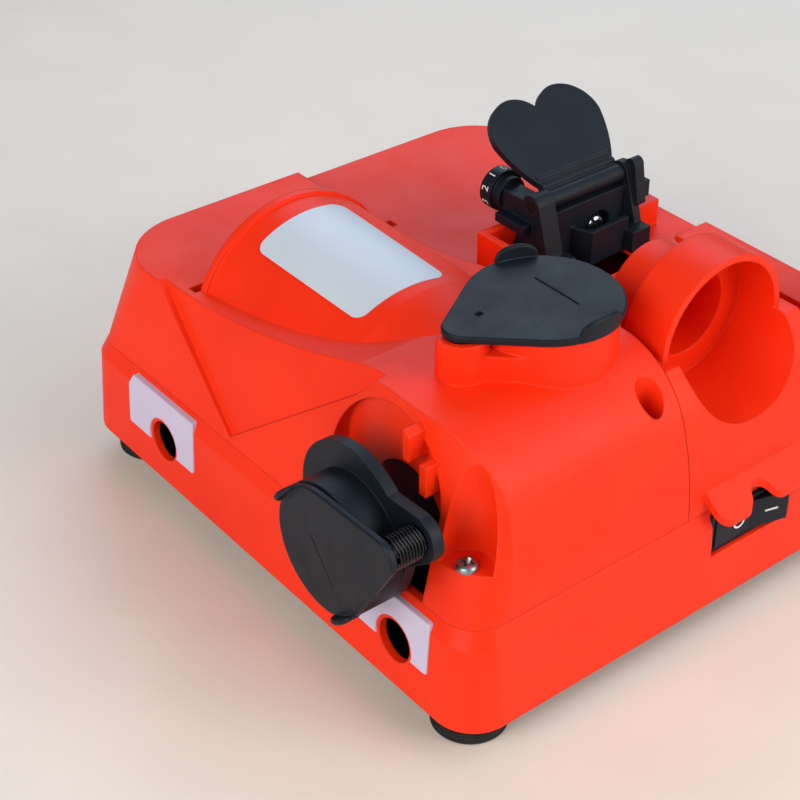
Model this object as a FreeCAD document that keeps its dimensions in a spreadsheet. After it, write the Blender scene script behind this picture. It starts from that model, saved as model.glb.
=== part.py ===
"""Bench sharpener for knives, chisels and drill bits, as a parametric document.

Millimetres, +X right, +Y back, +Z up. The origin is on the bench under the middle of the base.
"""
import FreeCAD, Part
import Sketcher
import math
import os
from FreeCAD import Placement, Rotation, Vector

doc = FreeCAD.newDocument("sharpener")
sheet = doc.addObject("Spreadsheet::Sheet", "sizes")
cell_count = 0
nodes = []


class Size:
    """A number together with the spreadsheet expression that gives it."""

    def __init__(self, value, text):
        self.value = value
        self.text = text

    def __add__(self, other):
        other = as_size(other)
        return Size(self.value + other.value, f"({self.text} + {other.text})")

    def __sub__(self, other):
        other = as_size(other)
        return Size(self.value - other.value, f"({self.text} - {other.text})")

    def __mul__(self, other):
        other = as_size(other)
        return Size(self.value * other.value, f"({self.text} * {other.text})")

    def __truediv__(self, other):
        other = as_size(other)
        return Size(self.value / other.value, f"({self.text} / {other.text})")

    def __neg__(self):
        return Size(-self.value, f"(-1 * {self.text})")

    def __radd__(self, other):
        return as_size(other) + self

    def __rsub__(self, other):
        return as_size(other) - self

    def __rmul__(self, other):
        return as_size(other) * self


def as_size(amount):
    if isinstance(amount, Size):
        return amount
    return Size(float(amount), f"({amount})")


def cell(alias, value):
    """Write one driving dimension to the sheet and return it."""
    global cell_count
    cell_count += 1
    sheet.set(f"A{cell_count}", alias)
    sheet.set(f"B{cell_count}", str(value))
    sheet.setAlias(f"B{cell_count}", alias)
    return Size(float(value), f"sizes.{alias}")


# Driving dimensions: base
base_width = cell("base_width", 230)
base_depth = cell("base_depth", 203)
base_corner = cell("base_corner", 15)
shoulder_corner = cell("shoulder_corner", 14)
seam_corner = cell("seam_corner", 13)
foot_height = cell("foot_height", 12)
shoulder_z = cell("shoulder_z", 44)
seam_z = cell("seam_z", 50)
base_draft = cell("base_draft", 1.9)
seam_inset = cell("seam_inset", 4.5)
wall = cell("wall", 3)
plate_thick = cell("plate_thick", 3)
plate_gap = cell("plate_gap", 0.3)
foot_radius = cell("foot_radius", 13)
foot_lip = cell("foot_lip", 2)
foot_band = cell("foot_band", 4.8)
foot_step = cell("foot_step", 1)
foot_inset_x = cell("foot_inset_x", 18.5)
foot_inset_y = cell("foot_inset_y", 17)
boss_radius = cell("boss_radius", 8)
rib_thick = cell("rib_thick", 3)
rib_drop = cell("rib_drop", 1)
screw_radius = cell("screw_radius", 2)
screw_head_radius = cell("screw_head_radius", 3.6)
screw_head_thick = cell("screw_head_thick", 2.4)
screw_gap = cell("screw_gap", 0.2)
screw_bite = cell("screw_bite", 14)
screw_tip = cell("screw_tip", 1)
head_room = cell("head_room", 2)
outlet_radius = cell("outlet_radius", 7.8)
outlet_z = cell("outlet_z", 29.5)
left_outlet_x = cell("left_outlet_x", -59)
right_outlet_x = cell("right_outlet_x", 77.5)

# Driving dimensions: upper housing and hump over the wheels
crown_z = cell("crown_z", 118)
crown_inset = cell("crown_inset", 1)
front_lean = cell("front_lean", 14)
crown_corner = cell("crown_corner", 42)
deck_z = cell("deck_z", 83)
front_deck_z = cell("front_deck_z", 87)
deck_thick = cell("deck_thick", 4)
side_room = cell("side_room", 4.2)
ramp_start = cell("ramp_start", -64)
ramp_end = cell("ramp_end", 36)
ramp_end_z = cell("ramp_end_z", 106)
ramp_radius = cell("ramp_radius", 352)
top_z = cell("top_z", 107.5)
top_start = cell("top_start", 44)
top_end = cell("top_end", 74.5)
edge_radius = cell("edge_radius", 31.2)
side_inset = cell("side_inset", 11.6)
side_z = cell("side_z", 88)
side_radius = cell("side_radius", 110)
spindle_y = cell("spindle_y", -42)
spindle_z = cell("spindle_z", 71)
dome_radius = cell("dome_radius", 41)
dome_start = cell("dome_start", -58)
dome_end = cell("dome_end", 22)
dome_taper_end = cell("dome_taper_end", 54)
dome_taper_radius = cell("dome_taper_radius", 34)
dome_back = cell("dome_back", -1)
lip_rise = cell("lip_rise", 1.2)
hump_foot = cell("hump_foot", 60)
slot_width = cell("slot_width", 4.5)
slot_floor = cell("slot_floor", 76)
slot_front = cell("slot_front", -83)
slot_back = cell("slot_back", 8)
split_x = cell("split_x", 18)
split_y = cell("split_y", -4)
split_gap = cell("split_gap", 0.3)
facet_depth = cell("facet_depth", 1.6)
facet_crown_depth = cell("facet_crown_depth", 4)
facet_x = cell("facet_x", -20)
facet_left = cell("facet_left", -74)
facet_foot = cell("facet_foot", 2)
facet_flare = cell("facet_flare", 6)
facet_sweep = cell("facet_sweep", 150)
facet_right = cell("facet_right", 40)
facet_right_z = cell("facet_right_z", 98)
recess_x = cell("recess_x", 60)
recess_z = cell("recess_z", 77)
recess_radius = cell("recess_radius", 27)
recess_depth = cell("recess_depth", 17.5)
high_rib_x = cell("high_rib_x", 12.5)
high_rib_z = cell("high_rib_z", 17)
low_rib_x = cell("low_rib_x", 20.5)
low_rib_z = cell("low_rib_z", 8.5)
rib_reach = cell("rib_reach", 8)
rib_tall = cell("rib_tall", 11)
ledge_z = cell("ledge_z", 67)
well_inset_x = cell("well_inset_x", 17)
well_inset_y = cell("well_inset_y", 13)
well_radius = cell("well_radius", 8.8)
well_wall = cell("well_wall", 2.6)
side_screw_inset = cell("side_screw_inset", 18)
side_screw_y = cell("side_screw_y", -13.5)
side_well_radius = cell("side_well_radius", 4.8)
left_screw_inset = cell("left_screw_inset", 15)
left_screw_y = cell("left_screw_y", 38)
post_radius = cell("post_radius", 7)

# Driving dimensions: drill ports and their lids
port_x = cell("port_x", 64)
port_y = cell("port_y", -29.5)
ring_radius = cell("ring_radius", 24.2)
ring_top = cell("ring_top", 121.5)
drill_bore = cell("drill_bore", 8.5)
barrel_x = cell("barrel_x", 61)
barrel_y = cell("barrel_y", -60.5)
barrel_radius = cell("barrel_radius", 8.5)
web_drop = cell("web_drop", 5)
web_set = cell("web_set", 0.4)
web_radius = cell("web_radius", 5)
lid_radius = cell("lid_radius", 25.8)
lid_tip_radius = cell("lid_tip_radius", 6.8)
lid_thick = cell("lid_thick", 2.6)
lid_gap = cell("lid_gap", 0.3)
pin_radius = cell("pin_radius", 2.5)
pin_cap = cell("pin_cap", 1)
ear_rise = cell("ear_rise", 4)
ear_radius = cell("ear_radius", 1.8)
ear_half = cell("ear_half", 11)
top_ear_way = cell("top_ear_way", 85)
top_ear_spread = cell("top_ear_spread", 75)
front_ear_way = cell("front_ear_way", 223)
front_ear_spread = cell("front_ear_spread", 85)
slit_half = cell("slit_half", 0.4)
slit_depth = cell("slit_depth", 0.5)
top_slit_reach = cell("top_slit_reach", 10)
top_slit_shift = cell("top_slit_shift", 5)
front_slit_start = cell("front_slit_start", 6)
front_slit_start_way = cell("front_slit_start_way", 141)
front_slit_end = cell("front_slit_end", 12)
front_slit_end_way = cell("front_slit_end_way", 301)
hook_side = cell("hook_side", 2)
hook_back = cell("hook_back", 8)
hook_half = cell("hook_half", 1.5)
running_gap = cell("running_gap", 0.05)
front_x = cell("front_x", 64.5)
front_z = cell("front_z", 67)
drum_radius = cell("drum_radius", 22.5)
drum_reach = cell("drum_reach", 14.5)
flange_x = cell("flange_x", 62)
flange_z = cell("flange_z", 71.5)
flange_radius = cell("flange_radius", 26.3)
flange_reach = cell("flange_reach", 3)
flange_thick = cell("flange_thick", 4.1)
neck_radius = cell("neck_radius", 16.5)
neck_length = cell("neck_length", 23.4)
neck_gap = cell("neck_gap", 0.2)
front_lid_radius = cell("front_lid_radius", 24)
front_tip_radius = cell("front_tip_radius", 7.5)
front_pin_x = cell("front_pin_x", 93.5)
front_pin_z = cell("front_pin_z", 83.5)
lug_radius = cell("lug_radius", 8)
lug_root = cell("lug_root", 18.4)
pin_grip = cell("pin_grip", 7)
seat_gap = cell("seat_gap", 0.1)
coil_radius = cell("coil_radius", 5.2)
top_coil_radius = cell("top_coil_radius", 4.5)
coil_room = cell("coil_room", 6.2)
coil_depth = cell("coil_depth", 1.5)
wire_radius = cell("wire_radius", 0.4)
wire_bend = cell("wire_bend", 0.8)
coil_turns = cell("coil_turns", 6.25)

# Driving dimensions: alignment cups behind the seam
shoulder_top = cell("shoulder_top", 100.5)
valley_z = cell("valley_z", 81)
valley_inset = cell("valley_inset", 29)
valley_back = cell("valley_back", 80)
strip_z = cell("strip_z", 87)
cup_y = cell("cup_y", 27.5)
cup_z = cell("cup_z", 101)
cup_radius = cell("cup_radius", 27.5)
cup_wall = cell("cup_wall", 2.5)
cup_inset = cell("cup_inset", 26)
cup_depth = cell("cup_depth", 18)
cup_tail_radius = cell("cup_tail_radius", 18.5)
cup_tail_length = cell("cup_tail_length", 17)
scoop_y = cell("scoop_y", 76)
scoop_radius = cell("scoop_radius", 17)
visor_front = cell("visor_front", 4)
visor_back = cell("visor_back", 50)
visor_overhang = cell("visor_overhang", 4)
visor_drop = cell("visor_drop", 2.5)
visor_lip = cell("visor_lip", 3)
visor_root_inset = cell("visor_root_inset", 8.2)
visor_bend_inset = cell("visor_bend_inset", 5.5)
visor_top = cell("visor_top", 59)
visor_thick = cell("visor_thick", 5)
visor_corner = cell("visor_corner", 5)
notch_depth = cell("notch_depth", 6)
notch_half = cell("notch_half", 9)
shoulder_inset = cell("shoulder_inset", 21)
shoulder_radius = cell("shoulder_radius", 35)
tail_depth = cell("tail_depth", 20)
scoop_lift = cell("scoop_lift", 2)

# Driving dimensions: chisel station
frame_left = cell("frame_left", -16)
frame_right = cell("frame_right", 2)
frame_front = cell("frame_front", 12)
frame_back = cell("frame_back", 87)
frame_top = cell("frame_top", 97)
frame_block = cell("frame_block", 12)
frame_block_top = cell("frame_block_top", 93)
window_half = cell("window_half", 16)
carriage_front = cell("carriage_front", 26.5)
carriage_back = cell("carriage_back", 74)
carriage_left = cell("carriage_left", -12.5)
carriage_right = cell("carriage_right", 11)
carriage_top = cell("carriage_top", 90)
slide_gap = cell("slide_gap", 0.3)
throat_left = cell("throat_left", 0)
sled_room_front = cell("sled_room_front", 36)
sled_room_back = cell("sled_room_back", 65)
chute_top = cell("chute_top", 95)
chute_left = cell("chute_left", -5.7)
chute_front = cell("chute_front", 40.6)
chute_tip_x = cell("chute_tip_x", 8)
chute_tip_y = cell("chute_tip_y", 46.9)
chute_end_x = cell("chute_end_x", 7)
chute_end_y = cell("chute_end_y", 66)
chute_wall = cell("chute_wall", 2)
hinge_x = cell("hinge_x", -4)
hinge_z = cell("hinge_z", 107.4)
hinge_radius = cell("hinge_radius", 3.4)
cheek_radius = cell("cheek_radius", 4.4)
cheek_foot = cell("cheek_foot", 2)
cheek_foot_z = cell("cheek_foot_z", 86)
cheek_right = cell("cheek_right", 5)
clamp_front = cell("clamp_front", 34.6)
clamp_back = cell("clamp_back", 70.2)
clamp_tilt = cell("clamp_tilt", 37)
clamp_length = cell("clamp_length", 40.7)
clamp_cleft = cell("clamp_cleft", 33.7)
clamp_waist = cell("clamp_waist", 26)
clamp_neck = cell("clamp_neck", 6)
clamp_half = cell("clamp_half", 25.5)
clamp_flank = cell("clamp_flank", 51)
lobe_middle = cell("lobe_middle", 12.5)
lobe_outer = cell("lobe_outer", 14.8)
lobe_inner = cell("lobe_inner", 12.2)
clamp_thick = cell("clamp_thick", 2.8)
thumb_y = cell("thumb_y", 57)
thumb_z = cell("thumb_z", 91)
thumb_radius = cell("thumb_radius", 2.2)
thumb_head_radius = cell("thumb_head_radius", 4)
arch_radius = cell("arch_radius", 6.4)
thumb_head = cell("thumb_head", 3.2)
thumb_left = cell("thumb_left", -11)
thumb_seat = cell("thumb_seat", -3.2)
dial_y = cell("dial_y", 31.2)
dial_z = cell("dial_z", 104.7)
dial_radius = cell("dial_radius", 8)
dial_hub = cell("dial_hub", 6.4)
dial_left = cell("dial_left", -29)
dial_step = cell("dial_step", -23)
dial_right = cell("dial_right", -19.5)
dial_shaft = cell("dial_shaft", 2)
dial_end = cell("dial_end", -7.8)
dial_edge = cell("dial_edge", 0.8)
arm_top = cell("arm_top", 108.5)
bracket_left = cell("bracket_left", -18)
bracket_right = cell("bracket_right", -3)
bracket_front = cell("bracket_front", 22)
bracket_top = cell("bracket_top", 101)
horn_x = cell("horn_x", 0)
horn_z = cell("horn_z", 111.4)
horn_radius = cell("horn_radius", 2.5)
horn_half = cell("horn_half", 3)
horn_foot_z = cell("horn_foot_z", 97.5)
horn_gap = cell("horn_gap", 1.8)
horn_thick = cell("horn_thick", 4.5)
stop_length = cell("stop_length", 3.5)
stop_top = cell("stop_top", 104)
heart_rib_radius = cell("heart_rib_radius", 1.4)
heart_rib_start = cell("heart_rib_start", 5)
heart_rib_pitch = cell("heart_rib_pitch", 3.4)

# Driving dimensions: switch
switch_front = cell("switch_front", 6)
switch_back = cell("switch_back", 44)
switch_bottom = cell("switch_bottom", 32)
switch_top = cell("switch_top", 48.5)
switch_inset = cell("switch_inset", 2.6)
switch_depth = cell("switch_depth", 24.4)
switch_wall = cell("switch_wall", 1.6)
rocker_set = cell("rocker_set", 4.9)
rocker_gap = cell("rocker_gap", 0.5)
rocker_depth = cell("rocker_depth", 8)
rocker_root = cell("rocker_root", 3)
rocker_low = cell("rocker_low", 0.4)
rocker_high = cell("rocker_high", 4.4)
rocker_slant = cell("rocker_slant", 2)
rocker_low_back = cell("rocker_low_back", 3.5)
rocker_high_back = cell("rocker_high_back", 2)
pivot_radius = cell("pivot_radius", 1.5)
pivot_depth = cell("pivot_depth", 1)
pivot_end = cell("pivot_end", 0.8)

# Driving dimensions: drive inside the housing
spindle_radius = cell("spindle_radius", 4)
spindle_left = cell("spindle_left", -53)
spindle_right = cell("spindle_right", 78)
motor_radius = cell("motor_radius", 26)
motor_left = cell("motor_left", -34)
motor_right = cell("motor_right", 36)
bearing_radius = cell("bearing_radius", 9.5)
bearing_width = cell("bearing_width", 6)
stand_inset = cell("stand_inset", 6)
stand_half = cell("stand_half", 22)
stand_foot_half = cell("stand_foot_half", 34)
stand_foot = cell("stand_foot", 4)
stand_drop = cell("stand_drop", 8)
knife_wheel_radius = cell("knife_wheel_radius", 34)
knife_wheel_left = cell("knife_wheel_left", -54)
knife_wheel_right = cell("knife_wheel_right", -43)
wheel_room = cell("wheel_room", 3)
wheel_hub = cell("wheel_hub", 12)
wheel_dish = cell("wheel_dish", 1.5)
wheel_edge = cell("wheel_edge", 1)
drill_wheel_radius = cell("drill_wheel_radius", 26)
drill_wheel_left = cell("drill_wheel_left", 55)
drill_wheel_right = cell("drill_wheel_right", 76)
pulley_left = cell("pulley_left", 42)
pulley_width = cell("pulley_width", 9)
pulley_radius = cell("pulley_radius", 9)
belt_room = cell("belt_room", 0.3)
lay_pulley_radius = cell("lay_pulley_radius", 15)
belt_thick = cell("belt_thick", 2)
belt_width = cell("belt_width", 5)
lay_y = cell("lay_y", 50)
lay_z = cell("lay_z", 52)
lay_radius = cell("lay_radius", 4)
lay_left = cell("lay_left", -14)
chisel_wheel_radius = cell("chisel_wheel_radius", 21)
chisel_wheel_left = cell("chisel_wheel_left", 6)
chisel_wheel_right = cell("chisel_wheel_right", 15)
stand_thick = cell("stand_thick", 8)
pedestal_inset = cell("pedestal_inset", 2)
pedestal_gap = cell("pedestal_gap", 8)
pedestal_half = cell("pedestal_half", 16)
pedestal_toe = cell("pedestal_toe", 2)
pedestal_wall = cell("pedestal_wall", 5)
shaft_end = cell("shaft_end", 1)
inlet_x = cell("inlet_x", 60)
inlet_z = cell("inlet_z", 32)
inlet_radius = cell("inlet_radius", 6)
bush_wall = cell("bush_wall", 2.5)
bush_rim = cell("bush_rim", 2)
doc.recompute()

# Places that follow from the driving dimensions
right_wall = base_width / 2
back_wall = base_depth / 2
foot_x = right_wall - foot_inset_x
foot_y = back_wall - foot_inset_y
plate_top = foot_height + plate_thick
slot_left = dome_start - slot_width
lid_bottom = ring_top + lid_gap
lid_top = lid_bottom + lid_thick
drum_front = -back_wall - drum_reach
flange_front = -back_wall - flange_reach
flange_back = flange_front + flange_thick
neck_back = flange_back + neck_length
recess_back = recess_depth - back_wall
well_x = right_wall - well_inset_x
well_y = well_inset_y - back_wall
side_screw_x = right_wall - side_screw_inset
left_screw_x = left_screw_inset - right_wall
side_x = right_wall - side_inset
shoulder_x = right_wall - shoulder_inset
valley_right = right_wall - valley_inset
cup_rim_x = right_wall - cup_inset
cup_back_x = cup_rim_x - cup_depth
cup_tail_x = cup_back_x - cup_tail_length
visor_reach = right_wall + visor_overhang
visor_root = right_wall - visor_root_inset
visor_bend = right_wall - visor_bend_inset
switch_face = right_wall - switch_inset
switch_rear = switch_face - switch_depth
rocker_pivot_x = switch_face - rocker_set
front_lid_back = drum_front - lid_gap
front_lid_front = front_lid_back - lid_thick
switch_y = (switch_front + switch_back) / 2
rim_drop = inlet_z - inlet_radius - bush_rim - foot_height
back_wall_y = base_depth / 2 - base_draft * rim_drop / (shoulder_z - foot_height) + seat_gap
coil_floor = top_z - coil_depth
top_pin_foot = coil_floor - pin_grip
# FAR runs a cutting tool past the whole machine, over runs it just past one face
FAR = 300
over = 1


def bind(thing, path, amount):
    """Tie one property to the sheet."""
    thing.setExpression(path, as_size(amount).text)


TURN = {"Z": Rotation(), "X": Rotation(Vector(0, 1, 0), 90), "Y": Rotation(Vector(1, 0, 0), -90)}


def place(thing, x=0, y=0, z=0, along="Z"):
    """Put an object at a point, with its own Z axis along the named axis."""
    point = Vector(as_size(x).value, as_size(y).value, as_size(z).value)
    thing.Placement = Placement(point, TURN[along])
    bind(thing, "Placement.Base.x", x)
    bind(thing, "Placement.Base.y", y)
    bind(thing, "Placement.Base.z", z)
    return thing


def rod(name, radius, length, x, y, z, along="Z"):
    """A round bar that starts at a point and runs along an axis."""
    bar = doc.addObject("Part::Cylinder", name)
    bind(bar, "Radius", radius)
    bind(bar, "Height", length)
    return place(bar, x, y, z, along)


def block(name, x, y, z):
    """A box between two values on each axis."""
    box = doc.addObject("Part::Box", name)
    bind(box, "Length", as_size(x[1]) - x[0])
    bind(box, "Width", as_size(y[1]) - y[0])
    bind(box, "Height", as_size(z[1]) - z[0])
    return place(box, x[0], y[0], z[0])


def fuse(name, *pieces):
    whole = doc.addObject("Part::MultiFuse", name)
    whole.Shapes = list(pieces)
    return whole


def common(name, *pieces):
    shared = doc.addObject("Part::MultiCommon", name)
    shared.Shapes = list(pieces)
    return shared


def cut(name, base, *tools):
    result = doc.addObject("Part::Cut", name)
    result.Base = base
    result.Tool = tools[0] if len(tools) == 1 else fuse(name + "_tools", *tools)
    return result


def together(name, *pieces):
    """Separate solids that share one node."""
    group = doc.addObject("Part::Compound", name)
    group.Links = list(pieces)
    return group


def node(label, thing):
    """Name a finished sub-part; the label is also its file name."""
    thing.Label = label
    nodes.append(thing)
    return thing


def hold(sketch, geometry, point, x, y):
    """Fix one sketch point by its two distances from the sketch origin."""
    for kind, amount in (("DistanceX", as_size(x)), ("DistanceY", as_size(y))):
        rule = Sketcher.Constraint(kind, -1, 1, geometry, point, amount.value)
        name_rule(sketch, sketch.addConstraint(rule), amount)


def hold_radius(sketch, geometry, radius):
    amount = as_size(radius)
    rule = Sketcher.Constraint("Radius", geometry, amount.value)
    name_rule(sketch, sketch.addConstraint(rule), amount)


def name_rule(sketch, index, amount):
    sketch.renameConstraint(index, f"rule{index}")
    sketch.setExpression(f"Constraints.rule{index}", amount.text)


def circle(sketch, x, y, radius):
    centre = Vector(as_size(x).value, as_size(y).value, 0)
    index = sketch.addGeometry(Part.Circle(centre, Vector(0, 0, 1), as_size(radius).value))
    hold(sketch, index, 3, x, y)
    hold_radius(sketch, index, radius)


def wrap(sketch, discs):
    """The outline of a band drawn tight round discs (x, y, radius), listed counterclockwise."""
    count = len(discs)
    middles = [Vector(as_size(d[0]).value, as_size(d[1]).value, 0) for d in discs]
    radii = [as_size(d[2]).value for d in discs]
    normals = []
    for i in range(count):
        span = middles[(i + 1) % count] - middles[i]
        heading = math.atan2(span.y, span.x)
        normals.append(heading - math.acos((radii[i] - radii[(i + 1) % count]) / span.Length))
    arcs = []
    for i in range(count):
        first = normals[i - 1]
        last = first + (normals[i] - first) % (2 * math.pi)
        disc = Part.Circle(middles[i], Vector(0, 0, 1), radii[i])
        arcs.append(sketch.addGeometry(Part.ArcOfCircle(disc, first, last)))
    for i in range(count):
        after = (i + 1) % count
        out = Vector(math.cos(normals[i]), math.sin(normals[i]), 0)
        line = Part.LineSegment(middles[i] + out * radii[i], middles[after] + out * radii[after])
        index = sketch.addGeometry(line)
        sketch.addConstraint(Sketcher.Constraint("Tangent", arcs[i], 2, index, 1))
        sketch.addConstraint(Sketcher.Constraint("Tangent", index, 2, arcs[after], 1))
    for i in range(count):
        hold(sketch, arcs[i], 3, discs[i][0], discs[i][1])
        hold_radius(sketch, arcs[i], discs[i][2])


def outline(sketch, corners):
    """Close a loop through (x, y) corners. A third item is the radius of an arc to the next
    corner, positive where the loop turns left along it."""
    count = len(corners)
    points = [Vector(as_size(c[0]).value, as_size(c[1]).value, 0) for c in corners]
    ends = []
    for i in range(count):
        start = points[i]
        stop = points[(i + 1) % count]
        if len(corners[i]) == 2:
            index = sketch.addGeometry(Part.LineSegment(start, stop))
            ends.append((index, 1, 2))
            continue
        radius = as_size(corners[i][2]).value
        chord = stop - start
        left = Vector(-chord.y, chord.x, 0).normalize()
        reach = math.sqrt(radius * radius - chord.Length ** 2 / 4)
        middle = (start + stop) * 0.5 + left * math.copysign(reach, radius)
        first = math.atan2(start.y - middle.y, start.x - middle.x)
        last = math.atan2(stop.y - middle.y, stop.x - middle.x)
        disc = Part.Circle(middle, Vector(0, 0, 1), abs(radius))
        if radius > 0:
            index = sketch.addGeometry(Part.ArcOfCircle(disc, first, last))
            ends.append((index, 1, 2))
        else:
            index = sketch.addGeometry(Part.ArcOfCircle(disc, last, first))
            ends.append((index, 2, 1))
    for i in range(count):
        index, begin, finish = ends[i]
        after = ends[(i + 1) % count]
        sketch.addConstraint(Sketcher.Constraint("Coincident", index, finish, after[0], after[1]))
        hold(sketch, index, begin, corners[i][0], corners[i][1])
        if len(corners[i]) == 3:
            size = as_size(corners[i][2])
            hold_radius(sketch, index, size if size.value > 0 else -size)


def sketch_on(body, name, plane, lift=0):
    """A sketch on one of the body's own origin planes, lifted along the plane's normal."""
    sketch = body.newObject("Sketcher::SketchObject", name)
    support = [item for item in body.Origin.OriginFeatures if item.Role == plane][0]
    sketch.AttachmentSupport = [(support, "")]
    sketch.MapMode = "FlatFace"
    bind(sketch, "AttachmentOffset.Base.z", lift)
    return sketch


def prism(name, plane, lift, length, draw):
    """A body with one padded sketch."""
    body = doc.addObject("PartDesign::Body", name)
    sketch = sketch_on(body, name + "_sketch", plane, lift)
    draw(sketch)
    pad = body.newObject("PartDesign::Pad", name + "_pad")
    pad.Profile = sketch
    bind(pad, "Length", length)
    return body


def level(name, bottom, top, draw):
    """A plate between two heights, drawn in X and Y."""
    return prism(name, "XY_Plane", bottom, as_size(top) - bottom, draw)


def upright(name, front, back, draw):
    """A plate between two values of Y, drawn in X and Z."""
    return prism(name, "XZ_Plane", -as_size(back), as_size(back) - front, draw)


def sideways(name, left, right, draw):
    """A plate between two values of X, drawn in Y and Z."""
    return prism(name, "YZ_Plane", left, as_size(right) - left, draw)


def turned(name, corners):
    """A body turned about its own Z axis from (radius, height) corners."""
    body = doc.addObject("PartDesign::Body", name)
    sketch = sketch_on(body, name + "_sketch", "XZ_Plane")
    outline(sketch, corners)
    spin = body.newObject("PartDesign::Revolution", name + "_spin")
    spin.Profile = sketch
    spin.ReferenceAxis = (sketch, ["V_Axis"])
    spin.Angle = 360
    return body


def collar(name, inner, outer, length):
    """A plain turned ring or tube that starts at its own origin."""
    return turned(name, [(inner, 0), (outer, 0), (outer, length), (inner, length)])


def rounded(sketch, width, depth, corner, x=0, y=0):
    """A rectangle with round corners about a point."""
    across = as_size(width) / 2 - corner
    along = as_size(depth) / 2 - corner
    places = ((1, -1), (1, 1), (-1, 1), (-1, -1))
    wrap(sketch, [(x + i * across, y + j * along, corner) for i, j in places])


def skin(name, levels):
    """A solid lofted straight through round-cornered rectangles (z, width, depth, corner, y)."""
    rings = []
    for i, (z, width, depth, corner, y) in enumerate(levels):
        ring = doc.addObject("Sketcher::SketchObject", f"{name}_ring{i}")
        rounded(ring, width, depth, corner, 0, y)
        rings.append(place(ring, 0, 0, z))
    loft = doc.addObject("Part::Loft", name)
    loft.Sections = rings
    loft.Solid = True
    loft.Ruled = True
    return loft


def shrunk(z, inset, corner, lean=0):
    """One level of the base or housing, drawn in from the widest outline and more at the front."""
    width = base_width - 2 * as_size(inset)
    depth = base_depth - 2 * as_size(inset) - lean
    return (z, width, depth, corner, as_size(lean) / 2)


def screw(name, x, y, head_z, length):
    """A pan-head screw pointing down; head_z is the seat under its head."""
    head = rod(name + "_head", screw_head_radius, screw_head_thick, x, y, head_z)
    shank = rod(name + "_shank", screw_radius, length, x, y, head_z - length)
    return fuse(name, head, shank)


# Base: an open skirt with a shoulder under the seam, corner bosses and swarf outlets
base_outer = skin("base_outer", [
    shrunk(foot_height, 0, base_corner),
    shrunk(shoulder_z, base_draft, shoulder_corner),
    shrunk(seam_z, seam_inset, seam_corner)])
base_inner = skin("base_inner", [
    shrunk(foot_height, wall, base_corner - wall),
    shrunk(shoulder_z, base_draft + wall, shoulder_corner - wall),
    shrunk(seam_z, seam_inset + wall, seam_corner - wall)])

corner_spots = [(foot_x, -foot_y), (foot_x, foot_y), (-foot_x, foot_y), (-foot_x, -foot_y)]
top_screw_spots = [(well_x, well_y), (foot_x, foot_y), (side_screw_x, side_screw_y)]
left_screw_spots = [(left_screw_x, left_screw_y), (left_screw_x, -left_screw_y)]
boss_spots = corner_spots + [top_screw_spots[0], top_screw_spots[2]] + left_screw_spots


def base_boss(index, spot):
    """A screw boss tied to the nearest long wall by a rib."""
    x, y = spot
    boss = rod(f"boss{index}", boss_radius, seam_z - plate_top, x, y, plate_top)
    reach = base_width / 2
    run = (x, reach) if x.value > 0 else (-reach, x)
    rib = block(f"boss{index}_rib", run, (y - rib_thick / 2, y + rib_thick / 2),
                (plate_top, seam_z - rib_drop))
    return [boss, rib]


bosses = []
for index, spot in enumerate(boss_spots):
    bosses += base_boss(index, spot)
base_inside = common("base_inside", fuse("base_bosses", *bosses), base_outer)
base_walls = fuse("base_walls", cut("base_skirt", base_outer, base_inner), base_inside)
base_holes = []
for index, x in enumerate((left_outlet_x, right_outlet_x)):
    base_holes.append(rod(f"outlet{index}", outlet_radius, 3 * wall, x, -base_depth / 2 - over,
                          outlet_z, "Y"))
base_holes.append(block(
    "switch_window", (switch_rear, base_width), (switch_front, switch_back), (switch_bottom, switch_top)))
base_holes.append(rod("inlet_hole", inlet_radius + screw_gap, 4 * wall, inlet_x, base_depth / 2 - 3 * wall,
                      inlet_z, "Y"))
for index, (x, y) in enumerate(corner_spots):
    base_holes.append(rod(f"foot_thread{index}", screw_radius, screw_bite, x, y, plate_top))
for index, (x, y) in enumerate(top_screw_spots):
    base_holes.append(rod(f"top_thread{index}", screw_radius, screw_bite, x, y, seam_z - screw_bite))
for index, (x, y) in enumerate(left_screw_spots):
    base_holes.append(rod(f"left_hole{index}", screw_radius + screw_gap, FAR, x, y, 0))
node("base_shell", cut("base_shell", base_walls, *base_holes))

# Bottom plate, feet and the screws that hold them
plate_inset = wall + plate_gap + base_draft / 4
plate_width = base_width - 2 * plate_inset
plate_depth = base_depth - 2 * plate_inset
plate_body = level("plate_body", foot_height, plate_top,
                   lambda s: rounded(s, plate_width, plate_depth, base_corner - wall))
plate_holes = []
for index, (x, y) in enumerate(corner_spots + left_screw_spots):
    plate_holes.append(rod(f"plate_hole{index}", screw_radius + screw_gap, FAR, x, y, 0))
node("bottom_plate", cut("bottom_plate", plate_body, *plate_holes))

foot_bore = screw_radius + screw_gap
foot_sink = screw_head_radius + head_room
foot_seat = foot_height / 2
feet = []
foot_screws = []
for index, (x, y) in enumerate(corner_spots):
    foot = turned(f"foot{index}", [
        (foot_sink, 0), (foot_radius - foot_lip, 0), (foot_radius, foot_lip),
        (foot_radius, foot_band), (foot_radius - foot_step, foot_band + foot_step),
        (foot_radius - foot_step, foot_height), (foot_bore, foot_height), (foot_bore, foot_seat),
        (foot_sink, foot_seat)])
    feet.append(place(foot, x, y, 0))
    head = rod(f"foot_screw{index}_head", screw_head_radius, screw_head_thick, x, y,
               foot_seat - screw_head_thick)
    shank_top = plate_top + screw_bite - screw_tip
    shank = rod(f"foot_screw{index}_shank", screw_radius, shank_top - foot_seat, x, y, foot_seat)
    foot_screws.append(fuse(f"foot_screw{index}", head, shank))
node("rubber_feet", together("rubber_feet", *feet))
node("foot_screws", together("foot_screws", *foot_screws))

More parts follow.
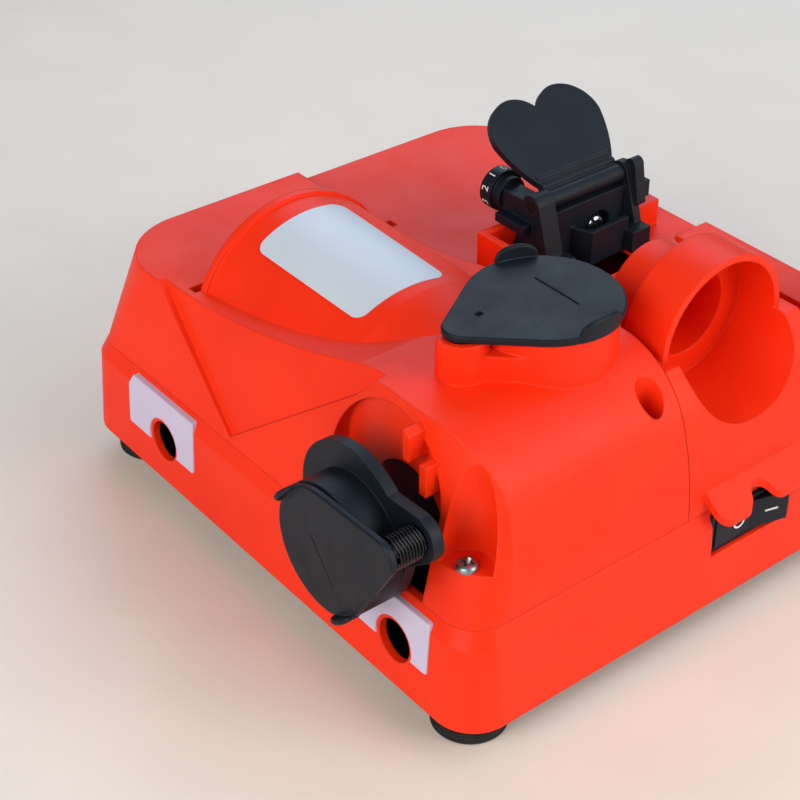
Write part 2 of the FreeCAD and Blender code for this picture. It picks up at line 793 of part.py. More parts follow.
# Upper housing: the front silhouette cut from a tapering block, with the hump over the wheels
top_inset = seam_inset + crown_inset
envelope = skin("envelope", [
    shrunk(seam_z, seam_inset, seam_corner), shrunk(crown_z, top_inset, crown_corner, front_lean)])
side_foot = base_width / 2 - seam_inset
silhouette = upright("silhouette", -FAR, FAR, lambda s: outline(s, [
    (-FAR, 0), (FAR, 0), (FAR, seam_z), (side_foot, seam_z, side_radius), (side_x, side_z, edge_radius),
    (top_end, top_z), (top_start, top_z), (ramp_end, ramp_end_z, -ramp_radius), (ramp_start, front_deck_z),
    (-FAR, front_deck_z)]))
front_block = common("front_block", envelope, silhouette)
rear_clear = block("rear_clear", (-FAR, FAR), (dome_back, FAR), (deck_z, FAR))
lowered = cut("lowered", front_block, rear_clear)
dome = rod("dome", dome_radius, dome_end - dome_start, dome_start, spindle_y, spindle_z, "X")
dome_lip = rod("dome_lip", dome_radius + lip_rise, wall, dome_start, spindle_y, spindle_z, "X")
dome_taper = doc.addObject("Part::Cone", "dome_taper")
bind(dome_taper, "Radius1", dome_radius)
bind(dome_taper, "Radius2", dome_taper_radius)
bind(dome_taper, "Height", dome_taper_end - dome_end)
place(dome_taper, dome_end, spindle_y, spindle_z, "X")
above_seam = block("above_seam", (-FAR, FAR), (-FAR, FAR), (hump_foot, FAR))
hump = common("hump", fuse("hump_round", dome, dome_lip, dome_taper), above_seam)
port_ring = rod("port_ring", ring_radius, ring_top - deck_z, port_x, port_y, deck_z)
port_barrel = rod("port_barrel", barrel_radius, ring_top - front_deck_z, barrel_x, barrel_y, front_deck_z)
port_web = level("port_web", front_deck_z, ring_top - web_drop, lambda s: wrap(s, [
    (barrel_x, barrel_y, web_radius), (port_x, port_y, ring_radius - web_set)]))
solid_upper = fuse("solid_upper", lowered, hump, port_ring, port_barrel, port_web)

# Room inside the upper housing, and what stands in it
ceiling_z = deck_z - deck_thick
ceiling_share = (ceiling_z - seam_z) / (crown_z - seam_z)
hollow_low = skin("hollow_low", [
    shrunk(seam_z, seam_inset + wall, seam_corner - wall),
    shrunk(ceiling_z, seam_inset + wall + side_room, seam_corner - wall, front_lean * ceiling_share)])
hollow_dome = rod("hollow_dome", dome_radius - wall, dome_end - dome_start - 2 * wall, dome_start + wall,
                  spindle_y, spindle_z, "X")
chamber_radius = drill_wheel_radius + wheel_room
chamber_left = dome_start + wall
chamber = rod("chamber", chamber_radius, drill_wheel_right + wheel_room - chamber_left, chamber_left,
              spindle_y, spindle_z, "X")
hollow = fuse("hollow", hollow_low, hollow_dome, chamber)


def arch(s, radius):
    """The outline of the recess round the front port."""
    outline(s, [(recess_x - radius, seam_z), (recess_x + radius, seam_z),
                (recess_x + radius, recess_z, radius), (recess_x, recess_z + radius, radius),
                (recess_x - radius, recess_z)])


recess_liner = upright("recess_liner", -FAR, recess_back + wall, lambda s: arch(s, recess_radius + wall))
well_liners = []
for index, (x, y) in enumerate(top_screw_spots):
    liner_radius = (well_radius if index == 0 else side_well_radius) + well_wall
    well_liners.append(rod(f"well_liner{index}", liner_radius, FAR, x, y, seam_z))
left_posts = []
for index, (x, y) in enumerate(left_screw_spots):
    left_posts.append(rod(f"left_post{index}", post_radius, deck_z - seam_z, x, y, seam_z))
stiff_parts = fuse("stiff_parts", recess_liner, well_liners[0], well_liners[2], *left_posts)
stiff = common("stiff", stiff_parts, solid_upper)
upper_walls = fuse("upper_walls", cut("upper_hollowed", solid_upper, hollow), stiff)

# Openings in the upper housing
recess = upright("recess", -FAR, recess_back, lambda s: arch(s, recess_radius))
upper_cuts = [recess]
upper_cuts.append(rod("neck_hole", neck_radius + neck_gap, FAR, front_x, recess_back + 3 * wall - FAR,
                      front_z, "Y"))
upper_cuts.append(rod("top_bore", drill_bore, FAR, port_x, port_y, spindle_z))
upper_cuts.append(rod("barrel_bore", coil_room, ring_top - coil_floor, barrel_x, barrel_y, coil_floor))
upper_cuts.append(rod("barrel_pin_bore", pin_radius, 2 * pin_grip, barrel_x, barrel_y, top_pin_foot))
upper_cuts.append(block("knife_slot", (slot_left, dome_start), (slot_front, slot_back), (slot_floor, FAR)))
window_disc = rod("window_disc", knife_wheel_radius - wall, wall + 2 * over, dome_start - over,
                  spindle_y, spindle_z, "X")
above_slot = block("above_slot", (-FAR, FAR), (-FAR, FAR), (slot_floor, FAR))
upper_cuts.append(common("wheel_window", window_disc, above_slot))
for index in (0, 2):
    x, y = top_screw_spots[index]
    radius = well_radius if index == 0 else side_well_radius
    upper_cuts.append(rod(f"well{index}", radius, FAR, x, y, ledge_z))
    upper_cuts.append(rod(f"well_hole{index}", screw_radius + screw_gap, FAR, x, y, seam_z - over))
for index, (x, y) in enumerate(left_screw_spots):
    upper_cuts.append(rod(f"left_thread{index}", screw_radius, screw_bite, x, y, seam_z))
upper_cuts.append(block("right_rear_room", (split_x, FAR), (split_y, FAR), (0, FAR)))
upper_cuts.append(block("pit", (frame_left + wall, FAR), (frame_front + wall, frame_back - frame_block),
                        (valley_z, FAR)))
window_span = (lay_y - window_half, lay_y + window_half)
upper_cuts.append(block("chisel_window", (throat_left, split_x - over), window_span, (seam_z, FAR)))
facet_shape = upright("facet_shape", -FAR, 0, lambda s: outline(s, [
    (facet_x, seam_z + facet_foot), (facet_right, facet_right_z, facet_sweep),
    (facet_right + facet_flare, FAR), (facet_left - facet_flare, FAR), (facet_left, front_deck_z)]))
facet_floor = skin("facet_floor", [
    shrunk(seam_z, seam_inset + facet_depth, seam_corner),
    shrunk(crown_z, top_inset + facet_crown_depth, crown_corner, front_lean)])
facet = cut("facet", facet_shape, facet_floor)
upper_open = cut("upper_open", upper_walls, *upper_cuts, facet)

# Guide frame of the chisel station and the ribs in the port recess
frame_outer = block("frame_outer", (frame_left, frame_right), (frame_front, frame_back),
                    (ceiling_z, frame_top))
frame_room = block("frame_room", (frame_left + wall, FAR), (frame_front + wall, frame_back - frame_block),
                   (0, FAR))
block_clear = block("block_clear", (-FAR, FAR), (frame_back - frame_block, FAR), (frame_block_top, FAR))
guide_frame = cut("guide_frame", frame_outer, frame_room, block_clear)
recess_ribs = []
rib_spots = [(recess_x + high_rib_x, recess_z + high_rib_z), (recess_x + low_rib_x, recess_z + low_rib_z)]
for index, (x, z) in enumerate(rib_spots):
    recess_ribs.append(block(f"recess_rib{index}", (x - rib_thick / 2, x + rib_thick / 2),
                             (recess_back - rib_reach, recess_back + over), (z, z + rib_tall)))
rib_room = common("rib_room", fuse("ribs", *recess_ribs), recess_liner)
node("upper_housing", fuse("upper_housing", upper_open, guide_frame, rib_room))

# Right rear housing: shoulder, valley with the alignment cup, scoop and switch visor
rear_left = split_x + split_gap
rear_front = split_y + split_gap
shoulder_shape = upright("shoulder_shape", -FAR, FAR, lambda s: outline(s, [
    (0, 0), (FAR, 0), (FAR, seam_z), (side_foot, seam_z, side_radius), (side_x, side_z, shoulder_radius),
    (shoulder_x, shoulder_top), (0, shoulder_top)]))
rear_region = block("rear_region", (rear_left, FAR), (rear_front, FAR), (seam_z, FAR))
rear_block = common("rear_block", envelope, shoulder_shape, rear_region)
strip_clear = block("strip_clear", (0, valley_right), (valley_back, FAR), (strip_z, FAR))
valley = block("valley", (0, valley_right), (-FAR, valley_back), (valley_z, FAR))
rear_hollow = skin("rear_hollow", [
    shrunk(seam_z, seam_inset + wall, seam_corner - wall),
    shrunk(valley_z - wall, seam_inset + wall + side_room, seam_corner - wall)])
rear_shell = cut("rear_shell", rear_block, strip_clear, valley, rear_hollow)
cup_outside = rod("cup_outside", cup_radius, cup_rim_x - cup_back_x, cup_back_x, cup_y, cup_z, "X")
cup_tail = rod("cup_tail", cup_tail_radius, cup_back_x - cup_tail_x, cup_tail_x, cup_y, cup_z, "X")
cup_inside = cup_radius - cup_wall
trough_liner = common("trough_liner", rear_block,
                      rod("trough_round", cup_inside + wall, FAR, valley_right, cup_y, cup_z, "X"))
rear_well = common("rear_well", rear_block, well_liners[1])
visor_low = seam_z - visor_drop
visor = upright("visor", visor_front, visor_back, lambda s: outline(s, [
    (visor_reach, visor_low), (visor_reach, visor_low + visor_lip), (visor_bend, visor_top),
    (visor_root, visor_top), (visor_root, visor_top - visor_thick), (side_foot, visor_top - visor_thick)]))
wave_radius = (notch_depth * notch_depth + notch_half * notch_half) / (4 * notch_depth)
wave_middle = visor_reach - notch_depth / 2
visor_plan = level("visor_plan", 0, FAR, lambda s: outline(s, [
    (visor_root - over, visor_front), (visor_reach - visor_corner, visor_front, visor_corner),
    (visor_reach, visor_front + visor_corner), (visor_reach, switch_y - notch_half, wave_radius),
    (wave_middle, switch_y - notch_half / 2, -wave_radius),
    (wave_middle, switch_y + notch_half / 2, wave_radius), (visor_reach, switch_y + notch_half),
    (visor_reach, visor_back - visor_corner, visor_corner), (visor_reach - visor_corner, visor_back),
    (visor_root - over, visor_back)]))
visor_wave = common("visor_wave", visor, visor_plan)
rear_solid = fuse("rear_solid", rear_shell, cup_outside, cup_tail, trough_liner, rear_well, visor_wave)
rear_cuts = [rod("cup_room", cup_inside, FAR, cup_back_x + cup_wall, cup_y, cup_z, "X")]
rear_cuts.append(rod("tail_room", cup_tail_radius - cup_wall, tail_depth, cup_tail_x + cup_wall,
                     cup_y, cup_z, "X"))
rear_cuts.append(rod("scoop", scoop_radius, FAR, valley_right, scoop_y, cup_z + scoop_lift, "X"))
x, y = top_screw_spots[1]
rear_cuts.append(rod("rear_well_bore", side_well_radius, FAR, x, y, ledge_z))
rear_cuts.append(rod("rear_well_hole", screw_radius + screw_gap, FAR, x, y, seam_z - over))
node("right_rear_housing", cut("right_rear_housing", rear_solid, *rear_cuts))

# Housing screws: three from above in their wells, two from below on the left
housing_screws = []
top_screw_length = ledge_z - seam_z + screw_bite - screw_tip
for index, (x, y) in enumerate(top_screw_spots):
    housing_screws.append(screw(f"top_screw{index}", x, y, ledge_z, top_screw_length))
node("housing_screws", together("housing_screws", *housing_screws))
left_screws = []
left_screw_length = seam_z + screw_bite - screw_tip - foot_height
for index, (x, y) in enumerate(left_screw_spots):
    head = rod(f"left_screw{index}_head", screw_head_radius, screw_head_thick, x, y,
               foot_height - screw_head_thick)
    shank = rod(f"left_screw{index}_shank", screw_radius, left_screw_length, x, y, foot_height)
    left_screws.append(fuse(f"left_screw{index}", head, shank))
node("base_screws", together("base_screws", *left_screws))


def polar(x, y, radius, degrees):
    """A point at a radius and angle about another point."""
    angle = as_size(degrees)
    across = Size(math.cos(math.radians(angle.value)), f"cos({angle.text} * 1deg)")
    along = Size(math.sin(math.radians(angle.value)), f"sin({angle.text} * 1deg)")
    return x + radius * across, y + radius * along


def ear_outline(s, x, y, radius, degrees):
    """A short finger ear along the rim of a round lid."""
    ends = [polar(x, y, radius, degrees + turn) for turn in (-ear_half, ear_half)]
    wrap(s, [(ends[0][0], ends[0][1], ear_radius), (ends[1][0], ends[1][1], ear_radius)])


# Top drill port: swivelling lid on a sprung pin
top_plate = level("top_plate", lid_bottom, lid_top, lambda s: wrap(s, [
    (barrel_x, barrel_y, lid_tip_radius), (port_x, port_y, lid_radius)]))
top_hole = rod("top_hole", pin_radius + running_gap, lid_thick - pin_cap, barrel_x, barrel_y, lid_bottom)
top_ears = []
for index, turn in enumerate((top_ear_spread, -top_ear_spread)):
    top_ears.append(level(f"top_ear{index}", lid_bottom, lid_top + ear_rise, lambda s: ear_outline(
        s, port_x, port_y, lid_radius - ear_radius / 4, top_ear_way + turn)))
top_slit_y = port_y + top_slit_shift
top_slit = level("top_slit", lid_top - slit_depth, lid_top + over, lambda s: wrap(s, [
    (port_x - top_slit_reach, top_slit_y, slit_half), (port_x + top_slit_reach, top_slit_y, slit_half)]))
hook_x = barrel_x - hook_side
hook_y = barrel_y + hook_back
hook_pocket = block("hook_pocket", (hook_x - hook_half, hook_x + hook_half),
                    (hook_y - hook_half, hook_y + hook_half), (lid_top - slit_depth, lid_top + over))
top_lid_whole = fuse("top_lid_whole", top_plate, *top_ears)
node("top_lid", cut("top_lid", top_lid_whole, top_hole, top_slit, hook_pocket))
top_pin_length = lid_top - pin_cap - lid_gap - top_pin_foot
node("top_lid_pin", rod("top_lid_pin", pin_radius, top_pin_length, barrel_x, barrel_y, top_pin_foot))

# Front drill port: flange, drum and lug in one moulding
flange = upright("flange", flange_front, flange_back, lambda s: circle(s, flange_x, flange_z, flange_radius))
lug = upright("lug", flange_front, flange_back, lambda s: wrap(s, [
    (flange_x, flange_z, lug_root), (front_pin_x, front_pin_z, lug_radius)]))
drum = rod("drum", drum_radius, flange_back - drum_front, front_x, drum_front, front_z, "Y")
neck = rod("neck", neck_radius, neck_back - flange_back, front_x, flange_back, front_z, "Y")
front_bore = rod("front_bore", drill_bore, FAR, front_x, -FAR / 2, front_z, "Y")
lug_bore = rod("lug_bore", pin_radius, FAR, front_pin_x, -FAR / 2, front_pin_z, "Y")
port_solid = fuse("port_solid", flange, lug, drum, neck)
node("front_port", cut("front_port", port_solid, front_bore, lug_bore))

front_plate = upright("front_plate", front_lid_front, front_lid_back, lambda s: wrap(s, [
    (front_x, front_z, front_lid_radius), (front_pin_x, front_pin_z, front_tip_radius)]))
front_hole = rod("front_hole", pin_radius + running_gap, lid_thick - pin_cap, front_pin_x,
                 front_lid_front + pin_cap, front_pin_z, "Y")
front_ears = []
front_ear_front = front_lid_front - ear_rise
for index, turn in enumerate((front_ear_spread, -front_ear_spread)):
    front_ears.append(upright(f"front_ear{index}", front_ear_front, front_lid_back, lambda s: ear_outline(
        s, front_x, front_z, front_lid_radius - ear_radius / 4, front_ear_way + turn)))
slit_ends = [polar(front_x, front_z, front_slit_start, front_slit_start_way),
             polar(front_x, front_z, front_slit_end, front_slit_end_way)]
front_slit = upright("front_slit", front_lid_front - over, front_lid_front + slit_depth, lambda s: wrap(
    s, [(x, z, slit_half) for x, z in slit_ends]))
front_lid_whole = fuse("front_lid_whole", front_plate, *front_ears)
node("front_lid", cut("front_lid", front_lid_whole, front_hole, front_slit))
front_pin_start = front_lid_front + pin_cap + lid_gap
node("front_lid_pin", rod("front_lid_pin", pin_radius, flange_back - front_pin_start, front_pin_x,
                          front_pin_start, front_pin_z, "Y"))


def biarc(start, start_way, stop, stop_way):
    """Two tangent arcs from one point and heading to another."""
    span = stop - start
    ways = start_way + stop_way
    spread = 2 * (1 - start_way.dot(stop_way))
    lean = span.dot(ways)
    reach = (math.sqrt(lean * lean + spread * span.dot(span)) - lean) / spread
    middle = (start + start_way * reach + stop - stop_way * reach) * 0.5
    return [arc_along(start, start_way, middle), arc_along(stop, -stop_way, middle)]


def arc_along(start, way, stop):
    """The arc that leaves a point in a given heading and ends at another."""
    span = stop - start
    across = span - way * span.dot(way)
    radius = span.dot(span) / (2 * across.Length)
    centre = start + across.normalize() * radius
    half = ((start - centre) + (stop - centre)).normalize() * radius
    return Part.Arc(start, centre + half, stop).toShape()


def coil(mean, wire, turns, space, bend):
    """A round-wire spring about Z as one unbroken tube whose ends stand square to its seats."""
    leg = 2 * wire
    pitch = (space - 2 * (leg + bend)) / turns
    steps = int(round(turns * 4))
    points = []
    ways = []
    for i in range(steps + 1):
        angle = i * math.pi / 2
        points.append(Vector(mean * math.cos(angle), mean * math.sin(angle), leg + bend + pitch * i / 4))
        way = Vector(-mean * math.sin(angle), mean * math.cos(angle), pitch / (2 * math.pi))
        ways.append(way.normalize())
    up = Vector(0, 0, 1)
    first_knee = points[0] - ways[0] * bend - up * bend
    last_knee = points[-1] + ways[-1] * bend + up * bend
    first_knee.z = leg
    last_knee.z = space - leg
    foot = first_knee - up * leg
    edges = [Part.makeLine(foot, first_knee)]
    edges += biarc(first_knee, up, points[0], ways[0])
    for i in range(steps):
        edges += biarc(points[i], ways[i], points[i + 1], ways[i + 1])
    edges += biarc(points[-1], ways[-1], last_knee, up)
    edges.append(Part.makeLine(last_knee, last_knee + up * leg))
    path = Part.Wire(Part.__sortEdges__(edges))
    section = Part.Wire(Part.Circle(foot, up, wire).toShape())
    tube = path.makePipeShell([section], True, False)
    least = min((points[i + 4] - points[i]).Length for i in range(steps - 3)) - 2 * wire
    print(f"coil of {turns} turns: least gap {least:.2f} mm")
    return tube


def spring(name, mean, space, x, y, z, along):
    """A coil spring that fills the space between its two seats."""
    piece = doc.addObject("Part::Feature", name)
    piece.Shape = coil(mean.value, wire_radius.value, coil_turns.value, space.value, wire_bend.value)
    return place(piece, x, y, z, along)


front_coil_space = flange_front - front_lid_back - 2 * lid_gap
node("front_lid_spring", spring("front_lid_spring", coil_radius, front_coil_space,
                                front_pin_x, front_lid_back + lid_gap, front_pin_z, "Y"))
top_coil_space = lid_bottom - coil_floor - 2 * lid_gap
top_coil = collar("top_coil", top_coil_radius - wire_radius, top_coil_radius + wire_radius, top_coil_space)
node("top_lid_spring", place(top_coil, barrel_x, barrel_y, coil_floor + lid_gap))

# Chisel station: carriage with cheeks, chute and dial arm
carriage_bottom = valley_z + slide_gap
sled = block("sled", (carriage_left, carriage_right), (carriage_front, carriage_back),
             (carriage_bottom, carriage_top))
sled_room = block("sled_room", (throat_left, FAR), (sled_room_front, sled_room_back), (0, FAR))
chute = level("chute", carriage_bottom, chute_top, lambda s: outline(s, [
    (chute_left, chute_front), (chute_tip_x, chute_tip_y), (chute_end_x, chute_end_y),
    (chute_end_x - chute_wall, chute_end_y), (chute_tip_x - chute_wall, chute_tip_y + chute_wall / 2),
    (chute_left, chute_front + chute_wall)]))
cheek_spans = ((carriage_front, clamp_front - slide_gap), (clamp_back + slide_gap, carriage_back))
cheeks = []
for index, (front, back) in enumerate(cheek_spans):
    cheeks.append(upright(f"cheek{index}", front, back, lambda s: wrap(s, [
        (carriage_left + cheek_foot, cheek_foot_z, cheek_foot), (cheek_right, cheek_foot_z, cheek_foot),
        (hinge_x, hinge_z, cheek_radius)])))
arm_bottom = frame_top + 2 * slide_gap
dial_arm = block("dial_arm", (dial_right + slide_gap, hinge_x), cheek_spans[0], (arm_bottom, arm_top))
bracket = block("bracket", (bracket_left, bracket_right), (bracket_front, cheek_spans[0][1]),
                (arm_bottom, bracket_top))
screw_wall = block("screw_wall", (thumb_left, throat_left),
                   (cheek_spans[0][1] - over, cheek_spans[1][0] + over),
                   (carriage_bottom, hinge_z - hinge_radius - slide_gap))
horn_front = clamp_back + horn_gap
horn_back = horn_front + horn_thick
horn = upright("horn", horn_front, horn_back, lambda s: wrap(s, [
    (horn_x - horn_half, horn_foot_z, cheek_foot), (horn_x + horn_half, horn_foot_z, cheek_foot),
    (horn_x, horn_z, horn_radius)]))
horn_stop = block("horn_stop", (horn_x - horn_half, horn_x + horn_half),
                  (horn_back - over, horn_back + stop_length), (horn_foot_z, stop_top))
sled_open = cut("sled_open", sled, sled_room)
carriage_solid = fuse("carriage_solid", sled_open, chute, dial_arm, bracket, screw_wall, horn, horn_stop,
                      *cheeks)
hinge_bore = rod("hinge_bore", pin_radius, FAR, hinge_x, -FAR / 2, hinge_z, "Y")
dial_bore = rod("dial_bore", dial_shaft + running_gap, dial_end - dial_right + slide_gap, dial_right,
                dial_y, dial_z, "X")
thumb_bore = rod("thumb_bore", thumb_radius, thumb_seat - thumb_left, thumb_left, thumb_y, thumb_z, "X")
thumb_room = rod("thumb_room", arch_radius, throat_left - thumb_seat, thumb_seat,
                 thumb_y, thumb_z, "X")
node("chisel_carriage", cut("chisel_carriage", carriage_solid, hinge_bore, dial_bore, thumb_bore, thumb_room))
node("clamp_pin", rod("clamp_pin", pin_radius, horn_back - carriage_front, hinge_x, carriage_front,
                      hinge_z, "Y"))
thumb_end = rod("thumb_end", thumb_head_radius, thumb_head, thumb_seat, thumb_y, thumb_z, "X")
thumb_shank = rod("thumb_shank", thumb_radius, thumb_seat - thumb_left, thumb_left, thumb_y, thumb_z, "X")
node("clamp_screw", fuse("clamp_screw", thumb_end, thumb_shank))

# Heart-shaped clamp plate on its hinge pin, drawn flat and then tilted
clamp_mid = (clamp_front + clamp_back) / 2
clamp_grip = (clamp_back - clamp_front) / 2
heart_plate = level("heart_plate", -clamp_thick / 2, clamp_thick / 2, lambda s: outline(s, [
    (0, -clamp_grip), (0, clamp_grip), (-clamp_neck, clamp_grip, clamp_flank),
    (-clamp_waist, clamp_half, lobe_outer), (-clamp_length, lobe_middle, lobe_inner),
    (-clamp_cleft, 0, lobe_inner), (-clamp_length, -lobe_middle, lobe_outer),
    (-clamp_waist, -clamp_half, clamp_flank), (-clamp_neck, -clamp_grip)]))
heart_barrel = rod("heart_barrel", hinge_radius, clamp_back - clamp_front, 0, -clamp_grip, 0, "Y")
heart_hole = rod("heart_hole", pin_radius + running_gap, FAR, 0, -FAR / 2, 0, "Y")
heart_ribs = []
for index in range(2):
    heart_ribs.append(rod(f"heart_rib{index}", heart_rib_radius, clamp_back - clamp_front,
                          -heart_rib_start - index * heart_rib_pitch, -clamp_grip, clamp_thick / 4, "Y"))
heart = cut("heart", fuse("heart_whole", heart_plate, heart_barrel, *heart_ribs), heart_hole)
TURN["tilted"] = Rotation(Vector(0, 1, 0), clamp_tilt.value)
node("chisel_clamp", place(heart, hinge_x, clamp_mid, hinge_z, "tilted"))
bind(heart, "Placement.Rotation.Angle", clamp_tilt * Size(1, "1deg"))

dial_width = dial_right - dial_left
dial = turned("dial", [
    (0, 0), (dial_radius - dial_edge, 0), (dial_radius, dial_edge), (dial_radius, dial_step - dial_left),
    (dial_hub, dial_step - dial_left), (dial_hub, dial_width), (dial_shaft, dial_width),
    (dial_shaft, dial_end - dial_left), (0, dial_end - dial_left)])
node("feed_dial", place(dial, dial_left, dial_y, dial_z, "X"))

# Switch: body behind the base wall and the rocker on its pivot
body_box = block("body_box", (switch_rear, switch_face), (switch_front + plate_gap, switch_back - plate_gap),
                 (switch_bottom + plate_gap, switch_top - plate_gap))
pocket_front = switch_front + plate_gap + switch_wall
pocket_back = switch_back - plate_gap - switch_wall
pocket_bottom = switch_bottom + plate_gap + switch_wall
pocket_top = switch_top - plate_gap - switch_wall
body_room = block("body_room", (rocker_pivot_x - rocker_depth, FAR), (pocket_front, pocket_back),
                  (pocket_bottom, pocket_top))
pivot_bore = rod("pivot_bore", pivot_radius + running_gap, pocket_top - pocket_bottom + 2 * pivot_depth,
                 rocker_pivot_x, switch_y, pocket_bottom - pivot_depth)
node("switch_body", cut("switch_body", body_box, body_room, pivot_bore))
rocker_front = pocket_front + rocker_gap
rocker_back = pocket_back - rocker_gap
rocker_bottom = pocket_bottom + rocker_gap
rocker_top = pocket_top - rocker_gap
rocker_plate = level("rocker_plate", rocker_bottom, rocker_top, lambda s: outline(s, [
    (rocker_pivot_x - rocker_root, switch_y), (switch_face - rocker_low_back, rocker_front),
    (switch_face + rocker_low, rocker_front), (switch_face + rocker_low, switch_y),
    (switch_face + rocker_high, rocker_back - rocker_slant), (switch_face - rocker_high_back, rocker_back)]))
rocker_stub = rod("rocker_stub", pivot_radius, pocket_top - pocket_bottom + 2 * pivot_end, rocker_pivot_x,
                  switch_y, pocket_bottom - pivot_end)
node("switch_rocker", fuse("switch_rocker", rocker_plate, rocker_stub))

# Cable inlet bush in the back wall
bush_length = 3 * wall
bush_bore = inlet_radius - bush_wall
bush_head = inlet_radius + bush_rim
bush = turned("bush", [
    (bush_bore, 0), (bush_head, 0), (bush_head, wall), (inlet_radius, wall), (inlet_radius, bush_length),
    (bush_bore, bush_length)])
TURN["to front"] = Rotation(Vector(1, 0, 0), 90)
place(bush, inlet_x, back_wall_y + wall, inlet_z, "to front")
node("cable_bush", bush)

# Motor on its stands, with two bearings and a spindle through it
can = collar("can", bearing_radius, motor_radius, motor_right - motor_left)
node("motor", place(can, motor_left, spindle_y, spindle_z, "X"))
bearings = []
for index, x in enumerate((motor_left, motor_right - bearing_width)):
    ring = collar(f"bearing{index}", spindle_radius + running_gap, bearing_radius, bearing_width)
    bearings.append(place(ring, x, spindle_y, spindle_z, "X"))
node("motor_bearings", together("motor_bearings", *bearings))
stands = []
for index, x in enumerate((motor_left + stand_inset, motor_right - stand_inset - stand_thick)):
    leg = block(f"stand{index}_leg", (x, x + stand_thick), (spindle_y - stand_half, spindle_y + stand_half),
                (plate_top, spindle_z - stand_drop))
    foot_span = (spindle_y - stand_foot_half, spindle_y + stand_foot_half)
    foot = block(f"stand{index}_foot", (x, x + stand_thick), foot_span, (plate_top, plate_top + stand_foot))
    saddle = rod(f"stand{index}_saddle", motor_radius + seat_gap, FAR, -FAR / 2, spindle_y, spindle_z, "X")
    stands.append(cut(f"stand{index}", fuse(f"stand{index}_solid", leg, foot), saddle))
node("motor_stands", together("motor_stands", *stands))
node("spindle", rod("spindle", spindle_radius, spindle_right - spindle_left, spindle_left,
                    spindle_y, spindle_z, "X"))


def wheel(name, radius, left, right, y, z, bore):
    """A grinding wheel with a shallow recess round its bore on each side."""
    width = right - left
    rim = wheel_hub + wheel_dish
    body = turned(name, [
        (bore, wheel_dish), (wheel_hub, wheel_dish), (rim, 0), (radius - wheel_edge, 0), (radius, wheel_edge),
        (radius, width - wheel_edge), (radius - wheel_edge, width), (rim, width),
        (wheel_hub, width - wheel_dish), (bore, width - wheel_dish)])
    return place(body, left, y, z, "X")


node("knife_wheel", wheel("knife_wheel", knife_wheel_radius, knife_wheel_left, knife_wheel_right,
                          spindle_y, spindle_z, spindle_radius))
node("drill_wheel", wheel("drill_wheel", drill_wheel_radius, drill_wheel_left, drill_wheel_right,
                          spindle_y, spindle_z, spindle_radius))


def pulley(name, radius, y, z, bore):
    """A flanged belt pulley."""
    edge = (pulley_width - belt_width) / 2 - belt_room
    body = turned(name, [(bore, 0), (radius + belt_thick, 0), (radius + belt_thick, edge), (radius, edge),
                         (radius, pulley_width - edge), (radius + belt_thick, pulley_width - edge),
                         (radius + belt_thick, pulley_width), (bore, pulley_width)])
    return place(body, pulley_left, y, z, "X")


node("drive_pulley", pulley("drive_pulley", pulley_radius, spindle_y, spindle_z, spindle_radius))
node("lay_pulley", pulley("lay_pulley", lay_pulley_radius, lay_y, lay_z, lay_radius))
belt_left = pulley_left + (pulley_width - belt_width) / 2


def band(name, gap, left, right):
    """The space inside or outside the belt loop."""
    return sideways(name, left, right, lambda s: wrap(s, [
        (spindle_y, spindle_z, pulley_radius + gap), (lay_y, lay_z, lay_pulley_radius + gap)]))


belt_out = band("belt_out", belt_room + belt_thick, belt_left, belt_left + belt_width)
belt_in = band("belt_in", belt_room, belt_left - over, belt_left + belt_width + over)
node("drive_belt", cut("drive_belt", belt_out, belt_in))

# Lay shaft for the chisel wheel, in two pedestals on the bottom plate
lay_right = pulley_left + pulley_width + shaft_end
node("lay_shaft", rod("lay_shaft", lay_radius, lay_right - lay_left, lay_left, lay_y, lay_z, "X"))
node("chisel_wheel", wheel("chisel_wheel", chisel_wheel_radius, chisel_wheel_left, chisel_wheel_right,
                           lay_y, lay_z, lay_radius))
pedestals = []
for index, x in enumerate((lay_left + pedestal_inset, chisel_wheel_right + pedestal_gap)):
    post = sideways(f"pedestal{index}_post", x, x + stand_thick, lambda s: wrap(s, [
        (lay_y - pedestal_half, plate_top + pedestal_toe, pedestal_toe),
        (lay_y + pedestal_half, plate_top + pedestal_toe, pedestal_toe),
        (lay_y, lay_z, lay_radius + pedestal_wall)]))
    hole = rod(f"pedestal{index}_hole", lay_radius + running_gap, FAR, -FAR / 2, lay_y, lay_z, "X")
    pedestals.append(cut(f"pedestal{index}", post, hole))
node("lay_pedestals", together("lay_pedestals", *pedestals))

# Build, test every object and write one file per sub-part
doc.recompute()
for item in doc.Objects:
    if "Invalid" in item.State or "Error" in item.State:
        raise RuntimeError(f"{item.Label} failed: {item.State} {item.getStatusString()}")
os.makedirs("parts", exist_ok=True)
for item in nodes:
    if item.Shape.isNull() or not item.Shape.isValid():
        raise RuntimeError(f"{item.Label} has no valid shape")
for item in nodes:
    item.Shape.exportStep(f"parts/{item.Label}.step")
print(f"{len(nodes)} sub-parts written")
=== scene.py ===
import math

import bmesh
import bpy
from bpy.props import FloatProperty, FloatVectorProperty, IntProperty, PointerProperty
from bpy.types import Operator, Panel, PropertyGroup
from mathutils import Matrix, Vector


